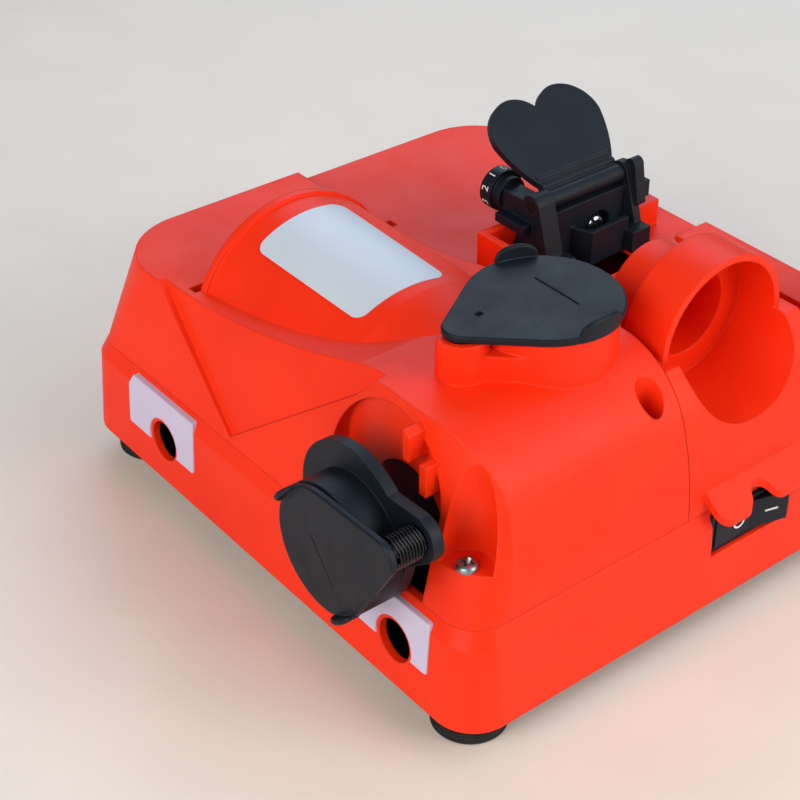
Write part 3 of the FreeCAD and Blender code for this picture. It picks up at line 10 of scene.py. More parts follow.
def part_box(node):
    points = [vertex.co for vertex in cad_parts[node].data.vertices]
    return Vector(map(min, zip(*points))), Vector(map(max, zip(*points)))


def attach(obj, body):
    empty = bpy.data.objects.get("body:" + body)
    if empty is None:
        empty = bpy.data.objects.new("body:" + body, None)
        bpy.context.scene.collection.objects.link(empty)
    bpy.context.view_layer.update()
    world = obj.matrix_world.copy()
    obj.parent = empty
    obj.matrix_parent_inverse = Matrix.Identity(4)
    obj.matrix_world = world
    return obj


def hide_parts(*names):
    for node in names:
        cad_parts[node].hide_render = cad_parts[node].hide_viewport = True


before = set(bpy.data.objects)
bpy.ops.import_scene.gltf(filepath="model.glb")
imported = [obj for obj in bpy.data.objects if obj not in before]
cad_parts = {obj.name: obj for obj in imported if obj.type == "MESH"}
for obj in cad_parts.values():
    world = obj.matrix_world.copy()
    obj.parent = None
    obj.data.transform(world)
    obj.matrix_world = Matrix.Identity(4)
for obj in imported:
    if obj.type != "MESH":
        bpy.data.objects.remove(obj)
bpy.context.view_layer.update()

bl_info = {
    "name": "Bench Sharpener Finish",
    "version": (1, 0, 0),
    "blender": (4, 5, 0),
    "location": "View3D > Sidebar > Sharpener",
    "description": "Finishes and small pieces of a bench sharpener on its packed frame",
    "category": "Object",
}

# Places of the feet, and depths of thin films and fine relief, in metres

FOOT_SPOTS = ((0.0965, -0.0845), (0.0965, 0.0845), (-0.0965, 0.0845), (-0.0965, -0.0845))
FILM_SUNK = 0.00005
GRAIN_DEPTH = 0.00012
LINE_DEPTH = 0.00005
GRIT_DEPTH = 0.0003


# Sizes and colours that a user would change


def shade(label, text, value):
    return FloatVectorProperty(name=label, description=text, subtype="COLOR", size=3, min=0, max=1,
                               default=value)


def length(label, text, value):
    return FloatProperty(name=label, description=text, unit="LENGTH", default=value, precision=5)


def power(label, text, value):
    return FloatProperty(name=label, description=text, unit="POWER", default=value)


class SharpenerColours(PropertyGroup):
    shell: shade("Shell", "Red of the housing mouldings", (0.86, 0.03, 0.004))
    shell_deep: shade("Shell, deep", "Red where the moulding is a little darker", (0.8, 0.024, 0.003))
    shell_edge: shade("Shell edge", "Red along rounded edges", (0.92, 0.06, 0.02))
    # The blue of this black is partly the slate of the mouldings and partly a painted reflection of the pale
    # light from above on their upward faces
    black: shade("Black", "Slate black of the lids, port, chisel station and switch", (0.006, 0.0098, 0.0165))
    black_edge: shade("Black edge", "Grey along the rubbed edges of black mouldings", (0.03, 0.034, 0.04))
    rubber: shade("Rubber", "Black of the feet, bush and belt", (0.01, 0.01, 0.011))
    label: shade("Label", "White of the bare label", (0.535, 0.6, 0.67))
    pad: shade("Pad", "Pale lilac of the pads round the outlets", (0.56, 0.51, 0.69))
    ink: shade("Marks", "White of the dial figures and switch marks", (0.8, 0.82, 0.85))
    steel: shade("Steel", "Screws, pins and shafts", (0.36, 0.38, 0.42))
    wire: shade("Spring wire", "Blackened spring steel", (0.03, 0.031, 0.034))
    bright: shade("Bright steel", "Plated head of the clamp screw", (0.82, 0.83, 0.85))
    alloy: shade("Alloy", "Cast stands and pedestals", (0.5, 0.51, 0.53))
    motor: shade("Motor", "Paint on the motor can", (0.06, 0.065, 0.075))
    grit: shade("Grit", "Bonded abrasive", (0.46, 0.2, 0.17))
    grit_pale: shade("Grit, pale", "Pale grains in the abrasive", (0.72, 0.5, 0.45))
    floor: shade("Floor", "Pale studio floor", (0.8, 0.74, 0.66))


class SharpenerSizes(PropertyGroup):
    dome_radius: length("Hump radius", "Radius of the round hump under the label", 0.041)
    dome_y: length("Hump middle Y", "Middle of the hump, front to back", -0.042)
    dome_z: length("Hump middle Z", "Height of the middle of the hump", 0.071)
    label_lift: length("Label thickness", "How far the label stands off the hump", 0.0002)
    label_corner: length("Label corner", "Radius of the label's corners", 0.0045)
    pad_lift: length("Pad thickness", "How far the pads stand off the base", 0.0007)
    pad_notch: length("Pad notch", "Radius of the notch round each outlet", 0.0092)
    lid_edge: length("Lid edge", "Rounding along the edges of the port lids", 0.0005)
    ear_thick: length("Ear thickness", "Thickness of the finger ears on the lids", 0.0019)
    wire: length("Spring wire", "Radius of the lid springs' wire", 0.0005)
    coil: length("Spring coil", "Mean radius of the front spring", 0.0052)
    turns: IntProperty(name="Spring turns", description="Whole turns of each lid spring", default=9, min=3)
    thread_pitch: length("Thread pitch", "Pitch of all the screws", 0.0014)
    edge: length("Edge softness", "Radius that moulded edges seem to have", 0.0009)


class SharpenerStage(PropertyGroup):
    eye: FloatVectorProperty(name="Camera", description="Where the camera stands", subtype="TRANSLATION",
                             unit="LENGTH", size=3, default=(0.40662, -0.35907, 0.41614))
    back: FloatVectorProperty(name="Camera back", description="From the object towards the camera",
                              subtype="XYZ", size=3, default=(0.6418, -0.5089, 0.5737))
    lens: FloatProperty(name="Lens", description="Focal length in millimetres", default=79.77)
    key: power("Key light", "Soft light from the front", 31)
    fill: power("Side light", "Soft light from the back right", 22)
    top: power("Back light", "Pale light from behind and above", 16)
    high: power("High light", "Pale light from above the back right", 10)
    sky: FloatProperty(name="Room light", description="Even light from all round", default=0.2)


def colours():
    return bpy.context.scene.sharpener_colours


def sizes():
    return bpy.context.scene.sharpener_sizes


# Shader node groups


def new_group(name, inputs, outputs):
    """An empty shader node group with named sockets."""
    group = bpy.data.node_groups.new(name, "ShaderNodeTree")
    for label, value in inputs:
        socket = group.interface.new_socket(label, in_out="INPUT", socket_type="NodeSocketFloat")
        socket.default_value = value
    for label, kind in outputs:
        group.interface.new_socket(label, in_out="OUTPUT", socket_type=kind)
    start = group.nodes.new("NodeGroupInput")
    end = group.nodes.new("NodeGroupOutput")
    return group, start, end


def noise(tree, vector, scale, detail, rough=0.5):
    """Noise between 0 and 1 whose scale is a socket."""
    node = tree.nodes.new("ShaderNodeTexNoise")
    node.inputs["Detail"].default_value = detail
    node.inputs["Roughness"].default_value = rough
    tree.links.new(vector, node.inputs["Vector"])
    tree.links.new(scale, node.inputs["Scale"])
    return node.outputs["Fac"]


def remap(tree, value, low, high, start=0.0, stop=1.0):
    """Stretch values from low..high to start..stop, and clamp them."""
    node = tree.nodes.new("ShaderNodeMapRange")
    node.inputs["From Min"].default_value = low
    node.inputs["From Max"].default_value = high
    node.inputs["To Min"].default_value = start
    node.inputs["To Max"].default_value = stop
    tree.links.new(value, node.inputs["Value"])
    return node.outputs["Result"]


def multiply(tree, first, second):
    """A socket times a number or another socket."""
    node = tree.nodes.new("ShaderNodeMath")
    node.operation = "MULTIPLY"
    tree.links.new(first, node.inputs[0])
    if isinstance(second, float):
        node.inputs[1].default_value = second
    else:
        tree.links.new(second, node.inputs[1])
    return node.outputs["Value"]


def blend_colour(tree, factor, first, second):
    """Mix two colours, each a plain colour or a socket."""
    node = tree.nodes.new("ShaderNodeMix")
    node.data_type = "RGBA"
    tree.links.new(factor, node.inputs[0])
    for socket, value in ((node.inputs[6], first), (node.inputs[7], second)):
        if isinstance(value, bpy.types.NodeSocket):
            tree.links.new(value, socket)
        else:
            socket.default_value = (*value, 1)
    return node.outputs[2]


def object_place(tree):
    return tree.nodes.new("ShaderNodeTexCoord").outputs["Object"]


def moulded_grain():
    """Fine mould texture, slow clouds of colour and smudges of gloss."""
    group, start, end = new_group(
        "moulded grain", [("Grain Scale", 1600), ("Cloud Scale", 22)],
        [("Height", "NodeSocketFloat"), ("Cloud", "NodeSocketFloat"), ("Smudge", "NodeSocketFloat")])
    place = object_place(group)
    group.links.new(noise(group, place, start.outputs["Grain Scale"], 3, 0.6), end.inputs["Height"])
    cloud = noise(group, place, start.outputs["Cloud Scale"], 3)
    group.links.new(remap(group, cloud, 0.35, 0.65), end.inputs["Cloud"])
    smudge = noise(group, place, multiply(group, start.outputs["Cloud Scale"], 2.7), 5, 0.65)
    group.links.new(remap(group, smudge, 0.3, 0.75), end.inputs["Smudge"])
    return group


def rounded_edge():
    """A softened normal near edges, and a broken mask of the edges themselves."""
    group, start, end = new_group(
        "rounded edge", [("Radius", 0.0009), ("Breakup Scale", 260)],
        [("Normal", "NodeSocketVector"), ("Edge", "NodeSocketFloat")])
    bevel = group.nodes.new("ShaderNodeBevel")
    bevel.samples = 6
    group.links.new(start.outputs["Radius"], bevel.inputs["Radius"])
    group.links.new(bevel.outputs["Normal"], end.inputs["Normal"])
    facing = group.nodes.new("ShaderNodeVectorMath")
    facing.operation = "DOT_PRODUCT"
    group.links.new(bevel.outputs["Normal"], facing.inputs[0])
    group.links.new(group.nodes.new("ShaderNodeNewGeometry").outputs["Normal"], facing.inputs[1])
    edge = remap(group, facing.outputs["Value"], 1.0, 0.8)
    speckle = noise(group, object_place(group), start.outputs["Breakup Scale"], 4, 0.6)
    group.links.new(multiply(group, edge, remap(group, speckle, 0.25, 0.6)), end.inputs["Edge"])
    return group


def turned_lines():
    """Fine rings and streaks left by a lathe."""
    group, start, end = new_group(
        "turned lines", [("Line Scale", 900)], [("Streak", "NodeSocketFloat"), ("Height", "NodeSocketFloat")])
    stretch = group.nodes.new("ShaderNodeMapping")
    stretch.inputs["Scale"].default_value = (1, 0.08, 0.08)
    group.links.new(object_place(group), stretch.inputs["Vector"])
    lines = noise(group, stretch.outputs["Vector"], start.outputs["Line Scale"], 4, 0.6)
    group.links.new(remap(group, lines, 0.3, 0.7), end.inputs["Streak"])
    group.links.new(lines, end.inputs["Height"])
    return group


def bonded_grit():
    """Grains of abrasive in their bond."""
    group, start, end = new_group(
        "bonded grit", [("Grit Scale", 1500)], [("Grain", "NodeSocketFloat"), ("Height", "NodeSocketFloat")])
    cells = group.nodes.new("ShaderNodeTexVoronoi")
    group.links.new(object_place(group), cells.inputs["Vector"])
    group.links.new(start.outputs["Grit Scale"], cells.inputs["Scale"])
    group.links.new(remap(group, cells.outputs["Color"], 0.45, 0.8), end.inputs["Grain"])
    group.links.new(cells.outputs["Distance"], end.inputs["Height"])
    return group


def put_group(tree, make, name):
    """A node of a shared group, which is made on its first use."""
    node = tree.nodes.new("ShaderNodeGroup")
    node.node_tree = bpy.data.node_groups.get(name) or make()
    return node


# Materials


def blank(name):
    """A material with one Principled shader."""
    material = bpy.data.materials.new(name)
    material.use_nodes = True
    return material, material.node_tree, material.node_tree.nodes["Principled BSDF"]


def dimmed(colour, share):
    """A colour with a share of its brightness."""
    return tuple(share * part for part in colour)


def bump(tree, surface, height, strength, distance, normal=None):
    """Raise the surface by a height map, over a softened normal where there is one."""
    node = tree.nodes.new("ShaderNodeBump")
    node.inputs["Strength"].default_value = strength
    node.inputs["Distance"].default_value = distance
    tree.links.new(height, node.inputs["Height"])
    if normal is not None:
        tree.links.new(normal, node.inputs["Normal"])
    tree.links.new(node.outputs["Normal"], surface.inputs["Normal"])


def moulded(name, colour, deep, edge_colour, gloss, grain, radius=None, shine=0.5):
    """Injection-moulded plastic or rubber: clouds of tone, smudges, fine grain and softened edges."""
    found = bpy.data.materials.get(name)
    if found:
        return found
    material, tree, surface = blank(name)
    skin = put_group(tree, moulded_grain, "moulded grain")
    edge = put_group(tree, rounded_edge, "rounded edge")
    edge.inputs["Radius"].default_value = radius or sizes().edge
    tone = blend_colour(tree, skin.outputs["Cloud"], deep, colour)
    wear = remap(tree, edge.outputs["Edge"], 0, 1, 0, 0.6)
    tree.links.new(blend_colour(tree, wear, tone, edge_colour), surface.inputs["Base Color"])
    tree.links.new(remap(tree, skin.outputs["Smudge"], 0, 1, *gloss), surface.inputs["Roughness"])
    surface.inputs["Specular IOR Level"].default_value = shine
    bump(tree, surface, skin.outputs["Height"], grain, GRAIN_DEPTH, edge.outputs["Normal"])
    return material


def turned_metal(name, colour, gloss):
    """Metal with the fine streaks of a lathe."""
    found = bpy.data.materials.get(name)
    if found:
        return found
    material, tree, surface = blank(name)
    lines = put_group(tree, turned_lines, "turned lines")
    streak = lines.outputs["Streak"]
    tree.links.new(blend_colour(tree, streak, dimmed(colour, 0.8), colour), surface.inputs["Base Color"])
    surface.inputs["Metallic"].default_value = 1
    tree.links.new(remap(tree, streak, 0, 1, *gloss), surface.inputs["Roughness"])
    bump(tree, surface, lines.outputs["Height"], 0.15, LINE_DEPTH)
    return material


def abrasive():
    """Bonded grit with pale grains."""
    name = "bonded abrasive"
    found = bpy.data.materials.get(name)
    if found:
        return found
    material, tree, surface = blank(name)
    grit = put_group(tree, bonded_grit, "bonded grit")
    mixed = blend_colour(tree, grit.outputs["Grain"], colours().grit, colours().grit_pale)
    tree.links.new(mixed, surface.inputs["Base Color"])
    surface.inputs["Roughness"].default_value = 0.9
    bump(tree, surface, grit.outputs["Height"], 0.8, GRIT_DEPTH)
    return material


def red_shell():
    tint = colours()
    return moulded("red shell", tint.shell, tint.shell_deep, tint.shell_edge, gloss=(0.36, 0.5), grain=0.16,
                   shine=0.18)


def black_moulding():
    tint = colours()
    # The blue of this black is partly a painted reflection of the pale light from above
    return moulded("black moulding", tint.black, dimmed(tint.black, 0.8), tint.black_edge, gloss=(0.4, 0.56),
                   grain=0.3, radius=0.0006, shine=0.2)


def black_rubber():
    tint = colours()
    return moulded("black rubber", tint.rubber, dimmed(tint.rubber, 0.75), tint.black_edge,
                   gloss=(0.62, 0.82), grain=0.5, radius=0.0006, shine=0.3)


def motor_paint():
    tint = colours()
    return moulded("motor paint", tint.motor, dimmed(tint.motor, 0.85), tint.black_edge, gloss=(0.35, 0.5),
                   grain=0.3)


def label_film():
    tint = colours().label
    return moulded("label film", tint, dimmed(tint, 0.96), tint, gloss=(0.3, 0.4), grain=0.02, radius=0.0002,
                   shine=0.4)


def pad_plastic():
    tint = colours().pad
    return moulded("pad plastic", tint, dimmed(tint, 0.95), tint, gloss=(0.42, 0.55), grain=0.2,
                   radius=0.0003, shine=0.35)


def white_ink():
    tint = colours().ink
    return moulded("white marks", tint, dimmed(tint, 0.92), tint, gloss=(0.4, 0.55), grain=0.1)


def floor_paint():
    tint = colours().floor
    return moulded("floor paint", tint, dimmed(tint, 0.97), tint, gloss=(0.5, 0.62), grain=0.1)


def screw_steel():
    return turned_metal("screw steel", colours().steel, (0.32, 0.46))


def blackened_steel():
    return turned_metal("blackened steel", colours().wire, (0.2, 0.32))


def blacked_pin():
    return turned_metal("blacked pin", colours().black_edge, (0.45, 0.6))


def cast_alloy():
    return turned_metal("cast alloy", colours().alloy, (0.45, 0.65))


def bright_plate():
    return turned_metal("bright plate", colours().bright, (0.2, 0.28))


def paint(names, material):
    """Give CAD nodes a finish."""
    for name in names:
        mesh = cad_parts[name].data
        mesh.materials.clear()
        mesh.materials.append(material)


# Mesh building


def placed(name, data):
    """A new object in the scene."""
    item = bpy.data.objects.new(name, data)
    bpy.context.scene.collection.objects.link(item)
    return item


def mesh_piece(name, points, faces):
    """A mesh object from points in metres."""
    mesh = bpy.data.meshes.new(name)
    mesh.from_pydata([tuple(point) for point in points], [], faces)
    work = bmesh.new()
    work.from_mesh(mesh)
    bmesh.ops.recalc_face_normals(work, faces=work.faces)
    work.to_mesh(mesh)
    work.free()
    return placed(name, mesh)


def worked_out(item):
    """The mesh of an object with its modifiers or its text worked out."""
    bpy.context.view_layer.update()
    scene_now = bpy.context.evaluated_depsgraph_get()
    return bpy.data.meshes.new_from_object(item.evaluated_get(scene_now))


def carved(piece, cutter):
    """Cut one mesh from another and drop the cutter."""
    tool = piece.modifiers.new("carve", "BOOLEAN")
    tool.operation = "DIFFERENCE"
    tool.solver = "EXACT"
    tool.object = cutter
    mesh = worked_out(piece)
    piece.modifiers.clear()
    piece.data = mesh
    bpy.data.objects.remove(cutter)
    return piece


def merged(name, meshes):
    """One object from several meshes."""
    work = bmesh.new()
    for mesh in meshes:
        work.from_mesh(mesh)
    whole = bpy.data.meshes.new(name)
    work.to_mesh(whole)
    work.free()
    return placed(name, whole)


def joined(name, pieces):
    """One object in place of several."""
    whole = merged(name, [piece.data for piece in pieces])
    for piece in pieces:
        bpy.data.objects.remove(piece)
    return whole


def fit(piece, body, material, corner=35):
    """Finish a piece, crease it where it turns by more than the corner, and let it ride on its body."""
    mesh = piece.data
    mesh.materials.clear()
    mesh.materials.append(material)
    mesh.polygons.foreach_set("use_smooth", [True] * len(mesh.polygons))
    mesh.set_sharp_from_angle(angle=math.radians(corner))
    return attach(piece, body)


def rounded_loop(corners, steps=6):
    """Points along a closed outline of (x, y, radius) corners."""
    loop = []
    count = len(corners)
    for i in range(count):
        here = Vector(corners[i][:2])
        before = (Vector(corners[i - 1][:2]) - here).normalized()
        after = (Vector(corners[(i + 1) % count][:2]) - here).normalized()
        radius = corners[i][2]
        half = before.angle(after) / 2
        middle = here + (before + after).normalized() * radius / math.sin(half)
        first = here + before * radius / math.tan(half) - middle
        turn = first.angle_signed(here + after * radius / math.tan(half) - middle)
        for step in range(steps + 1):
            spun = first.copy()
            spun.rotate(Matrix.Rotation(-turn * step / steps, 2))
            loop.append(middle + spun)
    return loop


def band_loop(first, second, steps=24):
    """A counterclockwise loop drawn tight round two discs (x, y, radius)."""
    span = Vector(second[:2]) - Vector(first[:2])
    heading = math.atan2(span.y, span.x)
    lean = math.acos((first[2] - second[2]) / span.length)
    arcs = ((first, heading + lean, 2 * math.pi - 2 * lean), (second, heading - lean, 2 * lean))
    loop = []
    for (x, y, radius), start, sweep in arcs:
        for step in range(steps + 1):
            angle = start + sweep * step / steps
            loop.append(Vector((x + radius * math.cos(angle), y + radius * math.sin(angle))))
    return loop


def inset(loop, amount):
    """The loop drawn in by an amount; it runs counterclockwise."""
    drawn = []
    count = len(loop)
    for i in range(count):
        along = (loop[(i + 1) % count] - loop[i - 1]).normalized()
        drawn.append(loop[i] + Vector((-along.y, along.x)) * amount)
    return drawn


def skin_faces(count, low, high):
    """Faces between two rings, from the first point of each."""
    faces = []
    for i in range(count):
        after = (i + 1) % count
        faces.append((low + i, low + after, high + after, high + i))
    return faces


def stacked(name, rings, closed=True):
    """A skin over rings of equal length, with a face on each end where it is closed."""
    count = len(rings[0])
    points = [point for ring in rings for point in ring]
    faces = []
    for level in range(len(rings) - 1):
        faces += skin_faces(count, level * count, (level + 1) * count)
    if closed:
        faces.append(tuple(range(count))[::-1])
        faces.append(tuple(range(len(points) - count, len(points))))
    return mesh_piece(name, points, faces)


def turned_ring(radius, height, steps=40):
    """Points of a circle about Z."""
    ring = []
    for i in range(steps):
        angle = 2 * math.pi * i / steps
        ring.append(Vector((radius * math.cos(angle), radius * math.sin(angle), height)))
    return ring


def turned(name, profile, steps=48):
    """A solid turned about Z from a closed outline of (radius, height)."""
    count = len(profile)
    points = [point for radius, height in profile for point in turned_ring(radius, height, steps)]
    faces = []
    for level in range(count):
        faces += skin_faces(steps, level * steps, (level + 1) % count * steps)
    return mesh_piece(name, points, faces)


def wedge(name, length_top, length_foot, width, top, foot):
    """A tapered block that cuts a slot or a pocket."""
    rings = []
    for reach, height in ((length_foot, foot), (length_top, top)):
        x, y = reach / 2, width / 2
        corners = ((x, y), (-x, y), (-x, -y), (x, -y))
        rings.append([Vector((*corner, height)) for corner in corners])
    return stacked(name, rings)


def screw_rings(head, head_height, shank, reach, pitch):
    """Rings of a pan-head screw about Z with its seat at the origin and its point down."""
    steps = 24
    # Shares of the head's radius and height, from its top
    crown = ((0.1, 1), (0.6, 0.97), (0.85, 0.87), (0.96, 0.68), (1, 0.42), (1, 0.1), (0.97, 0))
    core = 0.78 * shank
    flank = 3.2
    tip = 0.3 * core
    levels = 6 * max(2, int(reach / pitch))
    rings = [turned_ring(head * across, head_height * up, steps) for across, up in crown]
    rings.append(turned_ring(core, 0, steps))
    for level in range(levels):
        depth = reach * level / levels
        fade = min(1.0, depth / pitch, (reach - depth) / pitch)
        ring = []
        for i in range(steps):
            phase = (depth / pitch - i / steps) % 1
            crest = max(0.0, 1 - abs(phase - 0.5) * flank)
            radius = core + (shank - core) * crest * fade
            angle = 2 * math.pi * i / steps
            ring.append(Vector((radius * math.cos(angle), radius * math.sin(angle), -depth)))
        rings.append(ring)
    rings.append(turned_ring(tip, -reach, steps))
    return rings


def cross_screw(name, head, head_height, shank, reach, pitch):
    """A pan-head screw with a cross recess."""
    screw = stacked(name, screw_rings(head, head_height, shank, reach, pitch))
    mouth, floor, width = head * 1.4, head * 0.6, head * 0.32
    top, foot = head_height * 1.2, head_height * 0.2
    first_turn = 0.5
    for turn in (0, math.pi / 2):
        blade = wedge(name + "_blade", mouth, floor, width, top, foot)
        blade.data.transform(Matrix.Rotation(turn + first_turn, 4, "Z"))
        carved(screw, blade)
    return screw


def coil_piece(name, mean, wire, turns, space):
    """A round-wire spring about Z between two seats, with its end turns closed."""
    around, along = 10, 28
    closed_pitch = wire * 2.06
    open_pitch = (space - 2 * wire - 2 * closed_pitch) / (turns - 2)
    rings = []
    height = wire
    for i in range(turns * along + 1):
        angle = 2 * math.pi * i / along
        out = Vector((math.cos(angle), math.sin(angle), 0))
        ring = []
        for k in range(around):
            side = 2 * math.pi * k / around
            rise = Vector((0, 0, height + wire * math.sin(side)))
            ring.append(out * (mean + wire * math.cos(side)) + rise)
        rings.append(ring)
        turn = i / along
        height += (closed_pitch if turn < 1 or turn >= turns - 1 else open_pitch) / along
    return stacked(name, rings)


# Pieces of the machine


class SHARPENER_OT_shells(Operator):
    """Red finish on the base and the housing mouldings"""
    bl_idname = "sharpener.shells"
    bl_label = "Red shells"

    def execute(self, context):
        paint(("base_shell", "upper_housing", "right_rear_housing"), red_shell())
        return {"FINISHED"}


class SHARPENER_OT_mouldings(Operator):
    """Black finish on the front port, chisel station, switch and other dark pieces"""
    bl_idname = "sharpener.mouldings"
    bl_label = "Black mouldings"

    def execute(self, context):
        paint(("bottom_plate", "front_port", "chisel_carriage", "chisel_clamp", "feed_dial", "switch_body",
               "switch_rocker", "drive_pulley", "lay_pulley"), black_moulding())
        paint(("cable_bush", "drive_belt"), black_rubber())
        return {"FINISHED"}


class SHARPENER_OT_drive(Operator):
    """Motor, shafts, pins, stands and grinding wheels"""
    bl_idname = "sharpener.drive"
    bl_label = "Drive"

    def execute(self, context):
        paint(("top_lid_pin", "front_lid_pin", "motor_bearings", "spindle", "lay_shaft"), screw_steel())
        paint(("clamp_pin",), blacked_pin())
        paint(("motor_stands", "lay_pedestals"), cast_alloy())
        paint(("motor",), motor_paint())
        paint(("knife_wheel", "drill_wheel", "chisel_wheel"), abrasive())
        return {"FINISHED"}


class SHARPENER_OT_label(Operator):
    """Bare label that follows the round of the hump"""
    bl_idname = "sharpener.label"
    bl_label = "Label"

    # Corners as (x, distance round the hump) from the back left, counterclockwise from above
    corners = ((-0.0452, 0.0143), (-0.0448, -0.0248), (0.0148, -0.0251), (0.0186, 0.0109))
    corner_steps = 8
    middle_steps = 12
    rows = 26

    def place(self, across, along, lift):
        """A point of the label from its shares of the width and height."""
        size = sizes()
        back_left, front_left, front_right, back_right = (Vector(corner) for corner in self.corners)
        front = front_left.lerp(front_right, across)
        back = back_left.lerp(back_right, across)
        x, run = front.lerp(back, along)
        angle = run / size.dome_radius
        radius = size.dome_radius + lift
        return Vector((x, size.dome_y + radius * math.sin(angle), size.dome_z + radius * math.cos(angle)))

    def columns(self, width, corner):
        """Distances across the label, closer together at its round corners."""
        steps, spaces = self.corner_steps, self.middle_steps
        ends = [corner * (1 - math.cos(math.pi / 2 * i / steps)) for i in range(steps + 1)]
        middle = [corner + (width - 2 * corner) * i / spaces for i in range(1, spaces)]
        return ends + middle + [width - end for end in reversed(ends)]

    def faces(self, columns):
        """Faces of the two skins, and of the rim that joins them."""
        rows = self.rows
        count = rows + 1
        total = columns * count
        faces = []
        for base in (0, total):
            for column in range(columns - 1):
                for row in range(rows):
                    low = base + column * count + row
                    faces.append((low, low + 1, low + count + 1, low + count))
        last = total - count
        rim = list(range(0, last, count)) + list(range(last, last + rows))
        rim += list(range(last + rows, rows, -count)) + list(range(rows, 0, -1))
        for i, here in enumerate(rim):
            after = rim[(i + 1) % len(rim)]
            faces.append((here, after, total + after, total + here))
        return faces

    def execute(self, context):
        size = sizes()
        width = self.corners[2][0] - self.corners[1][0]
        height = self.corners[0][1] - self.corners[1][1]
        corner = size.label_corner
        columns = self.columns(width, corner)
        points = []
        for lift in (-FILM_SUNK, size.label_lift):
            for reach in columns:
                near = min(reach, width - reach)
                short = corner - math.sqrt(max(0.0, corner ** 2 - (corner - min(near, corner)) ** 2))
                for row in range(self.rows + 1):
                    rise = short + (height - 2 * short) * row / self.rows
                    points.append(self.place(reach / width, rise / height, lift))
        label = mesh_piece("bare_label", points, self.faces(len(columns)))
        fit(label, "housing", label_film())
        return {"FINISHED"}


class SHARPENER_OT_pads(Operator):
    """Pale pads on the front of the base, notched round the outlets"""
    bl_idname = "sharpener.pads"
    bl_label = "Outlet pads"

    # Name, left, right, bottom and top of each pad, and the middle of its outlet
    pads = (("left_outlet_pad", -0.0822, -0.0388, 0.0265, 0.0484, -0.059),
            ("right_outlet_pad", 0.0572, 0.0944, 0.0270, 0.0474, 0.0775))
    outlet_z = 0.0295
    # The front wall of the base at its foot, and its lean inwards
    wall_y = -0.1015
    wall_foot = 0.012
    wall_slope = 1.9 / 32
    sunk = 0.0021
    soft = 0.0003
    corner = 0.0012
    # The corner cut off at the top left
    cut_width = 0.0034
    cut_height = 0.0051
    cut_corner = 0.0008
    arc_steps = 24

    def outline(self, left, right, bottom, top, outlet):
        """Counterclockwise outline in X and Z."""
        notch = sizes().pad_notch
        drop = bottom - self.outlet_z
        half = math.sqrt(notch ** 2 - drop ** 2)
        start = math.atan2(drop, -half) + 2 * math.pi
        stop = math.atan2(drop, half)
        arc = []
        for step in range(self.arc_steps + 1):
            angle = start - (start - stop) * step / self.arc_steps
            arc.append(Vector((outlet + notch * math.cos(angle), self.outlet_z + notch * math.sin(angle))))
        shape = rounded_loop([
            (right, bottom, self.corner), (right, top, self.corner),
            (left + self.cut_width, top, self.cut_corner), (left, top - self.cut_height, self.corner),
            (left, bottom, self.corner)])
        return shape + arc

    def execute(self, context):
        lift = sizes().pad_lift
        for name, *pad in self.pads:
            loop = self.outline(*pad)
            rings = []
            for drawn, out in ((0, -self.sunk), (0, lift - self.soft), (self.soft, lift)):
                ring = []
                for point in inset(loop, drawn):
                    wall = self.wall_y + self.wall_slope * (point.y - self.wall_foot)
                    ring.append(Vector((point.x, wall - out, point.y)))
                rings.append(ring)
            fit(stacked(name, rings), "housing", pad_plastic())
        return {"FINISHED"}


class SHARPENER_OT_feet(Operator):
    """Rubber feet with moulded rings round their sides"""
    bl_idname = "sharpener.feet"
    bl_label = "Rubber feet"

    # Flared tread with two fine rings, as (radius, height) from the bottom, under the grooved neck
    tread = ((0.0112, 0), (0.0122, 0.0004), (0.0129, 0.0011), (0.013, 0.0017), (0.0123, 0.0021),
             (0.0123, 0.0025), (0.013, 0.0029), (0.013, 0.0036), (0.0123, 0.004), (0.0123, 0.0044),
             (0.0129, 0.0048))
    neck_radius = 0.0122
    neck_low = 0.0052
    groove = 0.0009
    grooves = 4
    # Shares of a groove's pitch where its floor ends and where the ring above it begins and ends
    groove_floor = 0.25
    ring_low = 0.42
    ring_high = 0.83
    sink = 0.0056
    bore = 0.0022
    seat = 0.006

    def outline(self, top):
        """Closed outline of a foot from the mouth of its screw sink."""
        ring = self.neck_radius
        floor = ring - self.groove
        pitch = (top - self.neck_low) / self.grooves
        profile = [(self.sink, 0), *self.tread]
        for index in range(self.grooves):
            low = self.neck_low + pitch * index
            profile += [(floor, low), (floor, low + self.groove_floor * pitch),
                        (ring, low + self.ring_low * pitch), (ring, low + self.ring_high * pitch)]
        profile += [(ring - self.groove / 2, top), (self.bore, top), (self.bore, self.seat),
                    (self.sink, self.seat)]
        return profile

    def execute(self, context):
        profile = self.outline(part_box("rubber_feet")[1].z)
        feet = []
        for index, (x, y) in enumerate(FOOT_SPOTS):
            foot = turned(f"foot{index}", profile)
            foot.data.transform(Matrix.Translation((x, y, 0)))
            feet.append(foot)
        whole = joined("foot_set", feet)
        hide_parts("rubber_feet")
        fit(whole, "housing", black_rubber(), 28)
        return {"FINISHED"}


